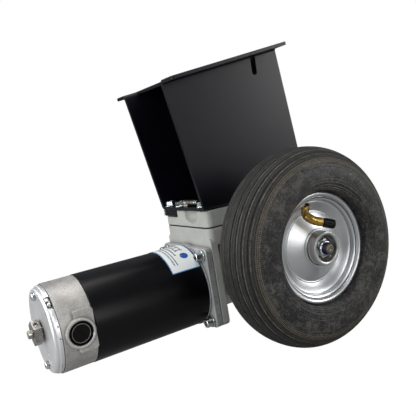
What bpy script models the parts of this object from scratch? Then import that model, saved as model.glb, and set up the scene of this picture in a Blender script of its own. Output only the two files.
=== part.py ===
"""Right-angle geared DC drive unit: brushed motor, worm gearbox, sheet bracket and pneumatic wheel.

Bracket frame: origin at the centre of the bracket's top mounting face, +Z up and square to that
face, wheel axle along Y with the wheel at -Y, motor pointing to -X. The gearmotor hangs below the
bracket, tilted by TILT about Y. Gearmotor pieces are drawn in the gearmotor frame: X along the
motor axis (x = 0 near the front end of the tube, rear at -X), Z up from the motor axis.
Lengths are in millimetres; mesh data is written in metres.

Every lathe profile lists (height along its axis, radius). Pieces built without a material are
hidden helpers that the boolean modifiers use.
"""

import math

import bmesh
import bpy
from mathutils import Vector

MM = 0.001
GAP = 0.3  # clearance between neighbouring pieces

# gearmotor frame in the bracket frame
TILT = math.radians(10.5)
GEARMOTOR_X, GEARMOTOR_Z = -110.3, -248.5

# motor
TUBE_RADIUS, TUBE_BORE = 51.0, 46.0
TUBE_REAR, TUBE_FRONT = -144.0, -2.8
SPIGOT_RADIUS, SPIGOT_BORE = TUBE_BORE - 0.5, 42.6  # end castings, where they enter the tube
BELL_REAR, BELL_RADIUS = -180.2, 50.6
PLATE_REAR, PLATE_RADIUS = -189.1, 49.2
BRUSH_X = -161.2
BOSS_END, BOSS_RADIUS, CAP_RADIUS = 53.0, 16.8, 12.8
BRUSH_HALF_X, BRUSH_HALF_Z, BRUSH_PLAY = 4.4, 6.4, 0.4
THROUGH_BOLT_Z = (39.0, -39.0)
SIDES = (("a", -1), ("b", 1))  # side letter and its sign along Y

# motor flange and gearbox
FLANGE_REAR, JOINT_X = -0.4, 8.7
HALF_WIDTH = 53.4
FLANGE_TOP, FLANGE_BOTTOM = 49.6, -48.5
BOX_BOTTOM, BOX_END = 50.0, 160.0
SPLIT_Z, GASKET = 71.6, 1.1
COVER_BASE, COVER_TOP = SPLIT_Z + 2 * GAP + GASKET, 93.5
SCREW_Y, SCREW_Z = 44.0, 41.0
SCREWS = [(-SCREW_Y, SCREW_Z), (-SCREW_Y, -SCREW_Z), (SCREW_Y, SCREW_Z), (SCREW_Y, -SCREW_Z)]
POCKET_HALF = 15.5  # half width of the space around the worm wheel
BRACKET_BOLTS = [(13.8, 40.0), (13.8, 12.5), (13.8, -41.5), (150.0, 40.0), (150.0, -40.0)]  # x, y
BREATHER = (15.5, 0.0)

# worm pair
MODULE, TEETH = 2.0, 30
CENTRES = 40.0
WHEEL_PITCH_RADIUS = MODULE * TEETH / 2
WORM_PITCH_RADIUS = CENTRES - WHEEL_PITCH_RADIUS
LEAD = math.pi * MODULE
ADDENDUM, DEDENDUM = 0.9 * MODULE, 1.15 * MODULE
AXLE_X = 84.5
AXLE_AT = (AXLE_X, CENTRES)
KEY_HALF, KEYWAY_HALF = 2.6, 3.0

# wheel, measured from the axle centre
WHEEL_Y = -139.0
TYRE_RADIUS, SECTION_RADIUS = 112.0, 33.0
LIP_RADIUS, RIM_HALF = 61.3, 20.2
HUB_END, HUB_RADIUS = -167.0, 18.6

# bracket, bracket frame
HALF_LENGTH = 86.0
SHEET = 4.0
WALL_Y = 53.85
OVERHANG = 25.0
EDGE_LEAN = 0.06
FLOOR_NEAR_Z = -157.6  # underside of the floor at the -X end
BEND_IN, BEND_OUT = 2.5, 2.5 + SHEET  # bends between walls and flanges
FLOOR_BEND = 5.0  # outside radius of the bends between walls and floor
TIE_REAR, TIE_FRONT = -66.0, 61.5

for old in list(bpy.data.objects):
    bpy.data.objects.remove(old)


# ------------------------------------------------------------------ materials
def material(name, colour, roughness, metallic=0.0):
    mat = bpy.data.materials.new(name)
    mat.use_nodes = True
    inputs = mat.node_tree.nodes["Principled BSDF"].inputs
    inputs["Base Color"].default_value = (*colour, 1)
    inputs["Roughness"].default_value = roughness
    inputs["Metallic"].default_value = metallic
    return mat


ENAMEL = material("black_enamel_tube", colour=(0.015, 0.015, 0.018), roughness=0.4)
CAST_ALU = material("cast_aluminium", colour=(0.55, 0.55, 0.54), roughness=0.5, metallic=0.9)
MACHINED = material("machined_aluminium", colour=(0.78, 0.79, 0.8), roughness=0.3, metallic=1.0)
GREY_PAINT = material("grey_painted_casting", colour=(0.40, 0.41, 0.38), roughness=0.45)
BLACK_COAT = material("black_powder_coat", colour=(0.03, 0.03, 0.032), roughness=0.45)
ZINC = material("zinc_plated_steel", colour=(0.7, 0.74, 0.76), roughness=0.3, metallic=1.0)
STEEL = material("ground_steel", colour=(0.5, 0.48, 0.46), roughness=0.35, metallic=1.0)
RUBBER = material("black_rubber", colour=(0.04, 0.04, 0.038), roughness=0.8)
RIM_STEEL = material("silver_rim", colour=(0.65, 0.66, 0.67), roughness=0.3, metallic=0.9)
BRASS = material("brass", colour=(0.6, 0.42, 0.12), roughness=0.3, metallic=1.0)
BRONZE = material("bronze", colour=(0.5, 0.3, 0.12), roughness=0.35, metallic=1.0)
COPPER = material("enamelled_copper", colour=(0.55, 0.22, 0.07), roughness=0.35, metallic=0.9)
CARBON = material("carbon", colour=(0.03, 0.03, 0.03), roughness=0.6, metallic=0.2)
FERRITE = material("ferrite", colour=(0.05, 0.05, 0.055), roughness=0.7)
PLASTIC = material("black_plastic", colour=(0.015, 0.015, 0.016), roughness=0.4)
LABEL = material("white_label", colour=(0.85, 0.87, 0.88), roughness=0.5)


# ------------------------------------------------------------------ points and outlines
def turn(step, count):
    """Angle of one step out of count steps round a full circle."""
    return 2 * math.pi * step / count


def polar(radius, angle, centre=(0, 0)):
    return (centre[0] + radius * math.cos(angle), centre[1] + radius * math.sin(angle))


def arc(radius, start, end, steps, centre=(0, 0)):
    """Points along an arc; start and end in degrees."""
    angles = [math.radians(start + (end - start) * k / steps) for k in range(steps + 1)]
    return [polar(radius, angle, centre) for angle in angles]


def sector(outer, inner, start, end, steps):
    """Outline of a curved strip between two radii; start and end in degrees."""
    return arc(outer, start, end, steps) + arc(inner, start, end, steps)[::-1]


def on_axis(axis, height, a, b):
    """Point at the given height along the axis, with a and b across it."""
    return {"X": (height, a, b), "Y": (a, height, b), "Z": (a, b, height)}[axis]


def round_rect(a0, a1, b0, b1, radius, steps=4):
    """Rectangle with rounded corners, from corner (a0, b0)."""
    left, right, low, high = a0 + radius, a1 - radius, b0 + radius, b1 - radius
    centres = ((left, low), (right, low), (right, high), (left, high))
    points = []
    for start, centre in zip((180, 270, 0, 90), centres):
        points += arc(radius, start, start + 90, steps, centre)
    return points


def ngon(sides, across_flats, start=0.0, centre=(0, 0)):
    radius = across_flats / 2 / math.cos(math.pi / sides)
    return [polar(radius, turn(k, sides) + start, centre) for k in range(sides)]


# ------------------------------------------------------------------ solids
def empty(name, parent=None, location=(0, 0, 0), tilt=0.0):
    frame = bpy.data.objects.new(name, None)
    bpy.context.scene.collection.objects.link(frame)
    frame.parent = parent
    frame.location = Vector(location) * MM
    frame.rotation_euler = (0, tilt, 0)
    return frame


def add_mesh(name, points, faces, parent, mat=None):
    """One mesh object from points in millimetres, with its faces turned outwards."""
    bm = bmesh.new()
    verts = [bm.verts.new(Vector(point) * MM) for point in points]
    for face in faces:
        bm.faces.new([verts[i] for i in face])
    bmesh.ops.recalc_face_normals(bm, faces=bm.faces)
    mesh = bpy.data.meshes.new(name)
    bm.to_mesh(mesh)
    bm.free()
    ob = bpy.data.objects.new(name, mesh)
    bpy.context.scene.collection.objects.link(ob)
    ob.parent = parent
    mesh.shade_smooth()
    mesh.set_sharp_from_angle(angle=math.radians(35))
    if mat:
        mesh.materials.append(mat)
    else:
        ob.hide_render = True
        ob.display_type = "WIRE"
    return ob


def lathe(name, axis, profile, seg, parent, mat=None, centre=(0, 0)):
    """Solid of revolution of a closed profile; points of radius 0 share one vertex."""
    points, rings, faces = [], [], []
    for height, radius in profile:
        if radius < 1e-6:
            rings.append([len(points)] * seg)
            points.append(on_axis(axis, height, *centre))
        else:
            rings.append(list(range(len(points), len(points) + seg)))
            points += [on_axis(axis, height, *polar(radius, turn(k, seg), centre))
                       for k in range(seg)]
    for i, ring in enumerate(rings):
        following = rings[(i + 1) % len(rings)]
        if ring[0] == ring[1] and following[0] == following[1]:
            continue
        for k in range(seg):
            n = (k + 1) % seg
            quad = [ring[k], ring[n], following[n], following[k]]
            faces.append([v for j, v in enumerate(quad) if v != quad[j - 1]])
    return add_mesh(name, points, faces, parent, mat)


def rod(name, axis, start, end, radius, seg, parent, mat=None, centre=(0, 0), chamfer=0.0):
    profile = [(start, 0), (start, radius), (end, radius), (end, 0)]
    if chamfer:
        profile = [
            (start, 0), (start, radius - chamfer), (start + chamfer, radius),
            (end - chamfer, radius), (end, radius - chamfer), (end, 0),
        ]
    return lathe(name, axis, profile, seg, parent, mat, centre)


def loft(name, rings, parent, mat=None):
    """Solid through rings of equal point count, closed by flat ends."""
    count = len(rings[0])
    points = [point for ring in rings for point in ring]
    faces = [list(range(count)), list(range(len(points) - count, len(points)))]
    for base in range(0, len(points) - count, count):
        for k in range(count):
            n = (k + 1) % count
            faces.append([base + k, base + n, base + count + n, base + count + k])
    return add_mesh(name, points, faces, parent, mat)


def prism(name, axis, outline, start, end, parent, mat=None):
    rings = [[on_axis(axis, height, a, b) for a, b in outline] for height in (start, end)]
    return loft(name, rings, parent, mat)


def box(name, corner, opposite, parent, mat=None):
    """Box between any two opposite corners."""
    (x0, x1), (y0, y1), (z0, z1) = map(sorted, zip(corner, opposite))
    return prism(name, "Z", [(x0, y0), (x1, y0), (x1, y1), (x0, y1)], z0, z1, parent, mat)


def boolean(ob, other, operation):
    modifier = ob.modifiers.new(operation.lower() + "_" + other.name, "BOOLEAN")
    modifier.operation = operation
    manifold = ob.name in ("rear_end_bell", "rear_end_plate", "gearbox_housing")
    modifier.solver = "MANIFOLD" if manifold else "EXACT"
    modifier.object = other


def cut(ob, *others):
    for other in others:
        boolean(ob, other, "DIFFERENCE")


def unite(ob, *others):
    for other in others:
        boolean(ob, other, "UNION")


def bearing(name, axis, start, end, bore, outer, parent, centre=(0, 0)):
    """Ball bearing drawn as one ring, with the recess between its races on the start side."""
    width = outer - bore
    low, high = bore + 0.3 * width, outer - 0.3 * width
    lathe(name, axis, [
        (start, bore), (start, low), (start + 1, low), (start + 1, high),
        (start, high), (start, outer), (end, outer), (end, bore),
    ], 16, parent, STEEL, centre)


GEARMOTOR = empty("gearmotor_frame", None, (GEARMOTOR_X, 0, GEARMOTOR_Z), TILT)
ROTOR = empty("rotor_axis", GEARMOTOR)
AXLE = empty("axle_axis", GEARMOTOR, (AXLE_X, 0, CENTRES))


# ------------------------------------------------------------------ motor case
def build_motor_tube():
    chamfer = 0.7
    lathe("motor_tube", "X", [
        (TUBE_REAR, TUBE_BORE), (TUBE_REAR, TUBE_RADIUS - chamfer),
        (TUBE_REAR + chamfer, TUBE_RADIUS), (TUBE_FRONT - chamfer, TUBE_RADIUS),
        (TUBE_FRONT, TUBE_RADIUS - chamfer), (TUBE_FRONT, TUBE_BORE),
    ], 48, GEARMOTOR, ENAMEL)


def build_rear_bell():
    """Ring casting with a brush holder and a capped boss on each side."""
    shoulder, spigot_end = -144.4, -137.0
    boss_root, holder_half, edge = 43.5, 9.0, 0.8
    bell = lathe("rear_end_bell", "X", [
        (BELL_REAR, SPIGOT_BORE), (BELL_REAR, BELL_RADIUS), (shoulder, BELL_RADIUS),
        (shoulder, SPIGOT_RADIUS), (spigot_end, SPIGOT_RADIUS), (spigot_end, SPIGOT_BORE),
    ], 32, GEARMOTOR, CAST_ALU)
    holder_outline = round_rect(BRUSH_X - holder_half, BRUSH_X + holder_half,
                                -holder_half, holder_half, 1.5, 2)
    for side, sign in SIDES:
        land = prism("land_" + side, "Y", round_rect(-166.0, -146.2, -22.0, 24.5, 2, 2),
                     sign * boss_root, sign * 50.9, GEARMOTOR)
        boss = lathe("boss_" + side, "Y", [
            (sign * boss_root, 0), (sign * boss_root, BOSS_RADIUS),
            (sign * (BOSS_END - edge), BOSS_RADIUS),
            (sign * BOSS_END, BOSS_RADIUS - edge), (sign * BOSS_END, 0),
        ], 24, GEARMOTOR, centre=(BRUSH_X, 0))
        holder = prism("holder_" + side, "Y", holder_outline, sign * 24.0, sign * 44.5, GEARMOTOR)
        unite(bell, land, boss, holder)
    slot_x, slot_z = BRUSH_HALF_X + BRUSH_PLAY, BRUSH_HALF_Z + BRUSH_PLAY
    for side, sign in SIDES:
        bore = rod("bore_" + side, "Y", sign * 45.5, sign * 60, CAP_RADIUS + GAP, 24, GEARMOTOR,
                   centre=(BRUSH_X, 0))
        slot = box("slot_" + side, (BRUSH_X - slot_x, sign * 20, -slot_z),
                   (BRUSH_X + slot_x, sign * 50, slot_z), GEARMOTOR)
        cut(bell, bore, slot)


def build_rear_plate():
    """Stepped end plate with a bearing housing, a rim notch, bolt bores and dimples."""
    plate = lathe("rear_end_plate", "X", [
        (-180.6, PLATE_RADIUS), (-184.2, PLATE_RADIUS), (-184.6, 48.0), (-187.4, 47.4),
        (PLATE_REAR, 44.8), (PLATE_REAR, 9.0), (-186.4, 9.0), (-186.4, 17.9),
        (-177.0, 17.9), (-177.0, 23.0), (-180.6, 23.0),
    ], 36, GEARMOTOR, MACHINED)
    notch = box("rim_notch", (-186.0, -8.5, 43.0), (-180.0, 8.5, 55.0), GEARMOTOR)
    notch.rotation_euler = (math.radians(90 - 47), 0, 0)
    cut(plate, notch)
    for k, z in enumerate(THROUGH_BOLT_Z):
        cut(plate, rod("plate_bore_%d" % k, "X", -195, -175, 2.8, 20, GEARMOTOR, centre=(0, z)))
    for k, place in enumerate(((27.0, 31.0), (-27.0, -31.0), (-13.0, -23.0))):
        cut(plate, rod("plate_dimple_%d" % k, "X", -195, -186.6, 1.9, 16, GEARMOTOR, centre=place))


def build_through_bolts():
    for side, z in zip("ab", THROUGH_BOLT_Z):
        lathe("through_bolt_" + side, "X", [
            (-193.2, 0), (-193.2, 2.9), (-192.2, 4.2), (-189.4, 4.6),
            (-189.4, 2.4), (4.0, 2.4), (4.0, 0),
        ], 20, GEARMOTOR, ZINC, (0, z))


def build_magnets():
    half_span = 62
    for side, middle in (("a", 180), ("b", 0)):
        outline = sector(45.7, 36.8, middle - half_span, middle + half_span, 14)
        prism("magnet_" + side, "X", outline, -116.0, -34.0, GEARMOTOR, FERRITE)


def build_rating_label():
    """Thin sheet wrapped on the tube."""
    outline = sector(TUBE_RADIUS + 0.65, TUBE_RADIUS + 0.3, 146, 52, 14)
    prism("rating_label", "X", outline, -42.0, -4.0, GEARMOTOR, LABEL)


# ------------------------------------------------------------------ brushes
def build_brush(side, sign):
    box("brush_" + side, (BRUSH_X - BRUSH_HALF_X, sign * 18.6, -BRUSH_HALF_Z),
        (BRUSH_X + BRUSH_HALF_X, sign * 35.0, BRUSH_HALF_Z), GEARMOTOR, CARBON)


def build_brush_cap(side, sign):
    """Cap with a ring groove and a screwdriver slot in its outer face."""
    profile = [
        (46.2, 0), (46.2, CAP_RADIUS - 0.2), (52.2, CAP_RADIUS - 0.2), (52.2, CAP_RADIUS - 0.9),
        (50.4, CAP_RADIUS - 1.3), (50.4, CAP_RADIUS - 2.2), (51.7, CAP_RADIUS - 2.6), (51.7, 0),
    ]
    cap = lathe("brush_cap_" + side, "Y", [(sign * y, radius) for y, radius in profile],
                24, GEARMOTOR, PLASTIC, (BRUSH_X, 0))
    groove = box("cap_slot_" + side, (-0.8, sign * 50.6, -7.5), (0.8, sign * 54, 7.5), GEARMOTOR)
    groove.location = Vector((BRUSH_X, 0, 0)) * MM
    groove.rotation_euler = (0, math.radians(-38), 0)
    cut(cap, groove)


def build_brush_spring(side, sign):
    """Coil spring between brush and cap."""
    steps_per_turn, wire_steps = 8, 4
    total = int(3.5 * steps_per_turn)
    wire_radius, coil_radius = 0.6, 3.5
    start, length = 35.9, 9.4
    rings = []
    for k in range(total + 1):
        coil_angle = turn(k, steps_per_turn)
        y = start + length * k / total
        ring = []
        for j in range(wire_steps):
            radius, along = polar(wire_radius, turn(j, wire_steps), (coil_radius, y))
            x, z = polar(radius, coil_angle, (BRUSH_X, 0))
            ring.append((x, sign * along, z))
        rings.append(ring)
    loft("brush_spring_" + side, rings, GEARMOTOR, STEEL)


# ------------------------------------------------------------------ rotor
SLOTS = 10


def build_rotor_shaft():
    lathe("rotor_shaft", "X", [
        (-204.0, 0), (-204.0, 4.2), (-203.4, 4.7), (-190.0, 4.7), (-190.0, 7.4), (-175.0, 7.4),
        (-175.0, 8.6), (-6.0, 8.6), (-6.0, 8.2), (56.4, 8.2), (56.4, 6.6), (112.6, 6.6),
        (112.6, 5.7), (133.0, 5.7), (133.0, 0),
    ], 16, ROTOR, STEEL)


def build_armature_core():
    """Round core with open slots; half_slot is half a slot's angle in radians."""
    outer, slot_floor, half_slot = 35.6, 22.0, 0.16
    tooth_angle = 2 * math.pi / SLOTS - 2 * half_slot
    outline = []
    for s in range(SLOTS):
        middle = turn(s, SLOTS)
        for side, radius in ((-1, outer), (-1, slot_floor), (1, slot_floor), (1, outer)):
            outline.append(polar(radius, middle + side * half_slot))
        for k in (1, 2):
            outline.append(polar(outer, middle + half_slot + tooth_angle * k / 3))
    core = prism("armature_core", "X", outline, -112.0, -38.0, ROTOR, STEEL)
    cut(core, rod("core_bore", "X", -120, -30, 8.9, 24, ROTOR))


def build_armature_winding():
    """End turns at both ends of the core, joined by a bar through each slot."""
    inner, edge, outer = 13.0, 27.0, 31.0
    winding = lathe("armature_winding", "X", [
        (-126.0, inner), (-126.0, edge), (-122.0, outer), (-112.4, outer), (-112.4, inner),
    ], 20, ROTOR, COPPER)
    unite(winding, lathe("front_turns", "X", [
        (-37.6, inner), (-37.6, outer), (-28.0, outer), (-24.0, edge), (-24.0, inner),
    ], 20, ROTOR))
    for s in range(SLOTS):
        bar = box("bar_%d" % s, (-114.0, -2.9, 23.0), (-36.0, 2.9, 30.6), ROTOR)
        bar.rotation_euler = (turn(s, SLOTS) - math.pi / 2, 0, 0)
        unite(winding, bar)


def build_commutator():
    lathe("commutator", "X", [
        (-173.0, 9.2), (-173.0, 18.0), (-150.5, 18.0),
        (-150.5, 20.5), (-147.0, 20.5), (-147.0, 9.2),
    ], 24, ROTOR, COPPER)


def build_shaft_collar():
    """Hexagonal collar on the rear end of the shaft, with its set screw."""
    screw_angle, screw_at = math.radians(30), (-195.0, 0)
    collar = prism("shaft_collar", "X", ngon(6, 25.0, math.radians(30)), -199.2, -190.8,
                   ROTOR, STEEL)
    hole = rod("set_hole", "Z", 4.0, 20.0, 2.3, 16, ROTOR, centre=screw_at)
    cut(collar, rod("collar_bore", "X", -205, -185, 5.0, 24, ROTOR), hole)
    screw = rod("collar_set_screw", "Z", 5.2, 11.9, 1.95, 16, ROTOR, ZINC, screw_at, chamfer=0.3)
    socket = rod("set_socket", "Z", 9.8, 20.0, 1.0, 6, ROTOR, centre=screw_at)
    cut(screw, socket)
    for piece in (hole, screw, socket):
        piece.rotation_euler = (screw_angle, 0, 0)


# ------------------------------------------------------------------ motor front flange
def build_front_flange():
    """Square flange with a round spigot into the tube and a seat for the front bearing."""
    flange = prism("motor_front_flange", "X",
                   round_rect(-HALF_WIDTH, HALF_WIDTH, FLANGE_BOTTOM, FLANGE_TOP, 6),
                   FLANGE_REAR, JOINT_X - GAP, GEARMOTOR, MACHINED)
    face = -2.5
    unite(flange, lathe("register", "X", [
        (4.0, 0), (4.0, 52.0), (face, 52.0), (face, SPIGOT_RADIUS), (-8.5, SPIGOT_RADIUS),
        (-8.5, SPIGOT_BORE), (face, SPIGOT_BORE), (face, 25.0), (-6.0, 25.0), (-6.0, 0),
    ], 32, GEARMOTOR))
    cut(flange,
        rod("front_seat", "X", -3.6, 12, 20.4, 32, GEARMOTOR),
        rod("front_lip", "X", -12, 0, 11.0, 24, GEARMOTOR))
    for k, z in enumerate(THROUGH_BOLT_Z):
        cut(flange, rod("through_thread_%d" % k, "X", -12, 6.0, 2.8, 16, GEARMOTOR, centre=(0, z)))
    for k, place in enumerate(SCREWS, 1):
        cut(flange, rod("flange_hole_%d" % k, "X", -5, 12, 4.5, 10, GEARMOTOR, centre=place))


def build_flange_screws():
    for k, (y, z) in enumerate(SCREWS, 1):
        screw = lathe("flange_screw_%d" % k, "X", [
            (-10.6, 0), (-10.6, 4.8), (-10.0, 5.4), (-2.6, 5.4), (-2.6, 6.9),
            (-0.7, 6.9), (-0.7, 3.9), (17.0, 3.9), (17.0, 0),
        ], 12, GEARMOTOR, ZINC, (y, z))
        socket = prism("socket_%d" % k, "X", ngon(6, 6.0, 0.3), -14.0, -6.4, GEARMOTOR)
        socket.location = Vector((0, y, z)) * MM
        cut(screw, socket)


# ------------------------------------------------------------------ gearbox case
def box_plan(inset, radius=8):
    """Outline (x, y) of the gearbox body seen from above."""
    return round_rect(JOINT_X + inset, BOX_END - inset,
                      -HALF_WIDTH + inset, HALF_WIDTH - inset, radius)


def box_slices(levels):
    """Rings of the gearbox body from (z, inset) levels."""
    return [[(x, y, z) for x, y in box_plan(inset)] for z, inset in levels]


def build_housing():
    levels = ((BOX_BOTTOM, 2.0), (BOX_BOTTOM + 2, 0.3), (SPLIT_Z, 0.0))
    housing = loft("gearbox_housing", box_slices(levels), GEARMOTOR, GREY_PAINT)
    unite(housing,
          prism("front_plate", "X", round_rect(-HALF_WIDTH, HALF_WIDTH, FLANGE_BOTTOM, 60.0, 6),
                JOINT_X, 18.6, GEARMOTOR),
          rod("drum", "Y", -38, 38, 45.5, 28, GEARMOTOR, centre=AXLE_AT, chamfer=2.0),
          rod("snout", "Y", -84.5, 53.4, 33.0, 28, GEARMOTOR, centre=AXLE_AT, chamfer=1.5),
          rod("worm_tunnel", "X", 12, 140, 27.0, 20, GEARMOTOR, chamfer=1.5),
          box("tunnel_rib", (16, -4, -42), (60, 4, 60), GEARMOTOR))
    pocket_radius = 35.0
    cut(housing,
        rod("gear_pocket", "Y", -POCKET_HALF, POCKET_HALF, pocket_radius, 24, GEARMOTOR,
            centre=AXLE_AT),
        box("gear_window", (AXLE_X - pocket_radius, -POCKET_HALF, CENTRES),
            (AXLE_X + pocket_radius, POCKET_HALF, SPLIT_Z + 5), GEARMOTOR),
        rod("worm_bore", "X", 0, 121.5, 16.2, 16, GEARMOTOR),
        rod("worm_seat", "X", 121.0, 150, 16.7, 20, GEARMOTOR))
    for name, start, end, radius, seg in (
        ("bore_a", -70, 40, 15.2, 16),
        ("seat_a", -76.6, -61.4, 24.2, 20),
        ("seal_a", -90, -76.0, 18.2, 20),
        ("seat_b", 33.4, 60, 24.2, 20),
    ):
        # in the housing the bell's "bore_a" already holds the plain name
        cut(housing, rod(name, "Y", start, end, radius, seg, GEARMOTOR, centre=AXLE_AT))
    cut(housing, box("split_trim", (0, -54.2, SPLIT_Z), (180, 60, 120), GEARMOTOR))
    for k, place in enumerate(SCREWS, 1):
        cut(housing, rod("tapped_%d" % k, "X", 5, 17.8, 4.45, 8, GEARMOTOR, centre=place))


def build_gasket():
    base = SPLIT_Z + GAP
    gasket = prism("housing_gasket", "Z", box_plan(0.6, radius=7.5), base, base + GASKET,
                   GEARMOTOR, RUBBER)
    window = round_rect(AXLE_X - 40, AXLE_X + 40, -20, 20, 5, 3)
    cut(gasket, prism("gasket_window", "Z", window, 60, 90, GEARMOTOR))


def build_cover():
    levels = ((COVER_BASE, 0.0), (COVER_TOP - 0.8, 0.5), (COVER_TOP, 1.2))
    cover = loft("gearbox_cover", box_slices(levels), GEARMOTOR, GREY_PAINT)
    cut(cover,
        rod("cover_pocket", "Y", -POCKET_HALF, POCKET_HALF, 37.0, 36, GEARMOTOR, centre=AXLE_AT),
        lathe("scallop", "Z", [
            (76.7, 0), (77.0, 5.0), (78.2, 9.6), (80.6, 13.6),
            (83.6, 16.0), (87.0, 17.0), (100, 17.0), (100, 0),
        ], 32, GEARMOTOR, centre=(1.5, -16.5)),
        box("pad_pocket", (0, 18.5, 84.0), (24, 60, 100), GEARMOTOR))
    for k, place in enumerate(BRACKET_BOLTS, 1):
        cut(cover, rod("cover_tap_%d" % k, "Z", 77.5, 100, 4.4, 12, GEARMOTOR, centre=place))
    cut(cover, rod("breather_tap", "Z", 80.0, 100, 3.4, 16, GEARMOTOR, centre=BREATHER))


# ------------------------------------------------------------------ on the cover
def build_bracket_bolts():
    head_base, head_top = 98.1, 104.6
    crown_base, crown_top = head_top - 0.1, 105.2
    for k, place in enumerate(BRACKET_BOLTS, 1):
        bolt = prism("bracket_bolt_%d" % k, "Z", ngon(6, 13.0, 0.25 * k, place),
                     head_base, head_top, GEARMOTOR, ZINC)
        unite(bolt,
              rod("bolt_shank_%d" % k, "Z", 78.5, 99.5, 3.9, 12, GEARMOTOR, centre=place),
              lathe("bolt_top_%d" % k, "Z",
                    [(crown_base, 0), (crown_base, 6.1), (crown_top, 5.6), (crown_top, 0)],
                    18, GEARMOTOR, centre=place))


def build_breather():
    pipe_z = 102.6
    elbow = rod("breather_elbow", "Y", -27.0, 3.4, 3.4, 20, GEARMOTOR, ZINC,
                (BREATHER[0], pipe_z), chamfer=0.6)
    unite(elbow,
          rod("elbow_stem", "Z", 82.0, pipe_z, 3.0, 16, GEARMOTOR, centre=BREATHER),
          prism("elbow_hex", "Z", ngon(6, 9.0, centre=BREATHER), 98.2, 100.6, GEARMOTOR))


def build_ribbed_pad():
    """Pad around the first bracket bolt, with V grooves along its -X face."""
    first_groove, groove_pitch, half_groove = 86.4, 1.75, 0.55
    pad = box("ribbed_pad", (7.6, 19.2, 85.0), (23.4, 52.6, 93.2), GEARMOTOR, RUBBER)
    for k in range(4):
        z = first_groove + groove_pitch * k
        outline = [(7.0, z - half_groove), (8.7, z), (7.0, z + half_groove)]
        cut(pad, prism("pad_groove_%d" % k, "Y", outline, 10, 60, GEARMOTOR))
    cut(pad, rod("pad_bore", "Z", 80, 100, 4.5, 16, GEARMOTOR, centre=BRACKET_BOLTS[0]))


# ------------------------------------------------------------------ worm pair
def build_worm():
    """Worm on the rotor axis; its columns follow the helix, so thread edges stay true."""
    seg, pitches, rows_per_pitch = 18, 7, 4
    tip, root = WORM_PITCH_RADIUS + ADDENDUM, WORM_PITCH_RADIUS - DEDENDUM
    bore, shoulder = 6.9, 2.5
    crest, flank = 0.14 * LEAD, 0.18 * LEAD
    offsets = (0.0, flank, flank + crest, 2 * flank + crest)

    # rows: (distance along the thread's start column, radius); first and last pitch are plain
    rows = []
    for p in range(pitches):
        for j, offset in enumerate(offsets):
            threaded = j in (1, 2) and 0 < p < pitches - 1
            rows.append((p * LEAD + offset, tip if threaded else root))
    rows.append((pitches * LEAD, root))
    last = len(rows) - 1
    start_x = AXLE_X - (pitches * LEAD + LEAD) / 2
    points, index, faces = [], {}, []
    for c in range(seg):
        for k, (x, radius) in enumerate(rows):
            index[c, k] = len(points)
            points.append((start_x + x + LEAD * c / seg, *polar(radius, turn(c, seg))))
    for c in range(seg - 1):
        for k in range(last):
            faces.append([index[c, k], index[c + 1, k], index[c + 1, k + 1], index[c, k + 1]])
    # the last column joins the first one pitch further on
    for k in range(last - rows_per_pitch):
        n = k + rows_per_pitch
        faces.append([index[seg - 1, k], index[0, n], index[0, n + 1], index[seg - 1, k + 1]])

    # plain ends and the bore
    rear_x, front_x = start_x - shoulder, start_x + rows[-1][0] + LEAD + shoulder
    ends = []
    for x, radius in ((rear_x, root), (rear_x, bore), (front_x, bore), (front_x, root)):
        ends.append(list(range(len(points), len(points) + seg)))
        points += [(x, *polar(radius, turn(c, seg))) for c in range(seg)]
    rear_out, rear_in, front_in, front_out = ends
    for c in range(seg - 1):
        faces.append([rear_out[c], rear_out[c + 1], index[c + 1, 0], index[c, 0]])
        faces.append([index[c, last], index[c + 1, last], front_out[c + 1], front_out[c]])
    faces.append([rear_out[seg - 1], rear_out[0]]
                 + [index[0, k] for k in range(rows_per_pitch + 1)] + [index[seg - 1, 0]])
    faces.append([index[seg - 1, k] for k in range(last - rows_per_pitch, last + 1)]
                 + [front_out[seg - 1], front_out[0], index[0, last]])
    for c in range(seg):
        n = (c + 1) % seg
        for ring, following in ((rear_out, rear_in), (rear_in, front_in), (front_in, front_out)):
            faces.append([ring[c], ring[n], following[n], following[c]])
    add_mesh("worm", points, faces, ROTOR, STEEL)


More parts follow.
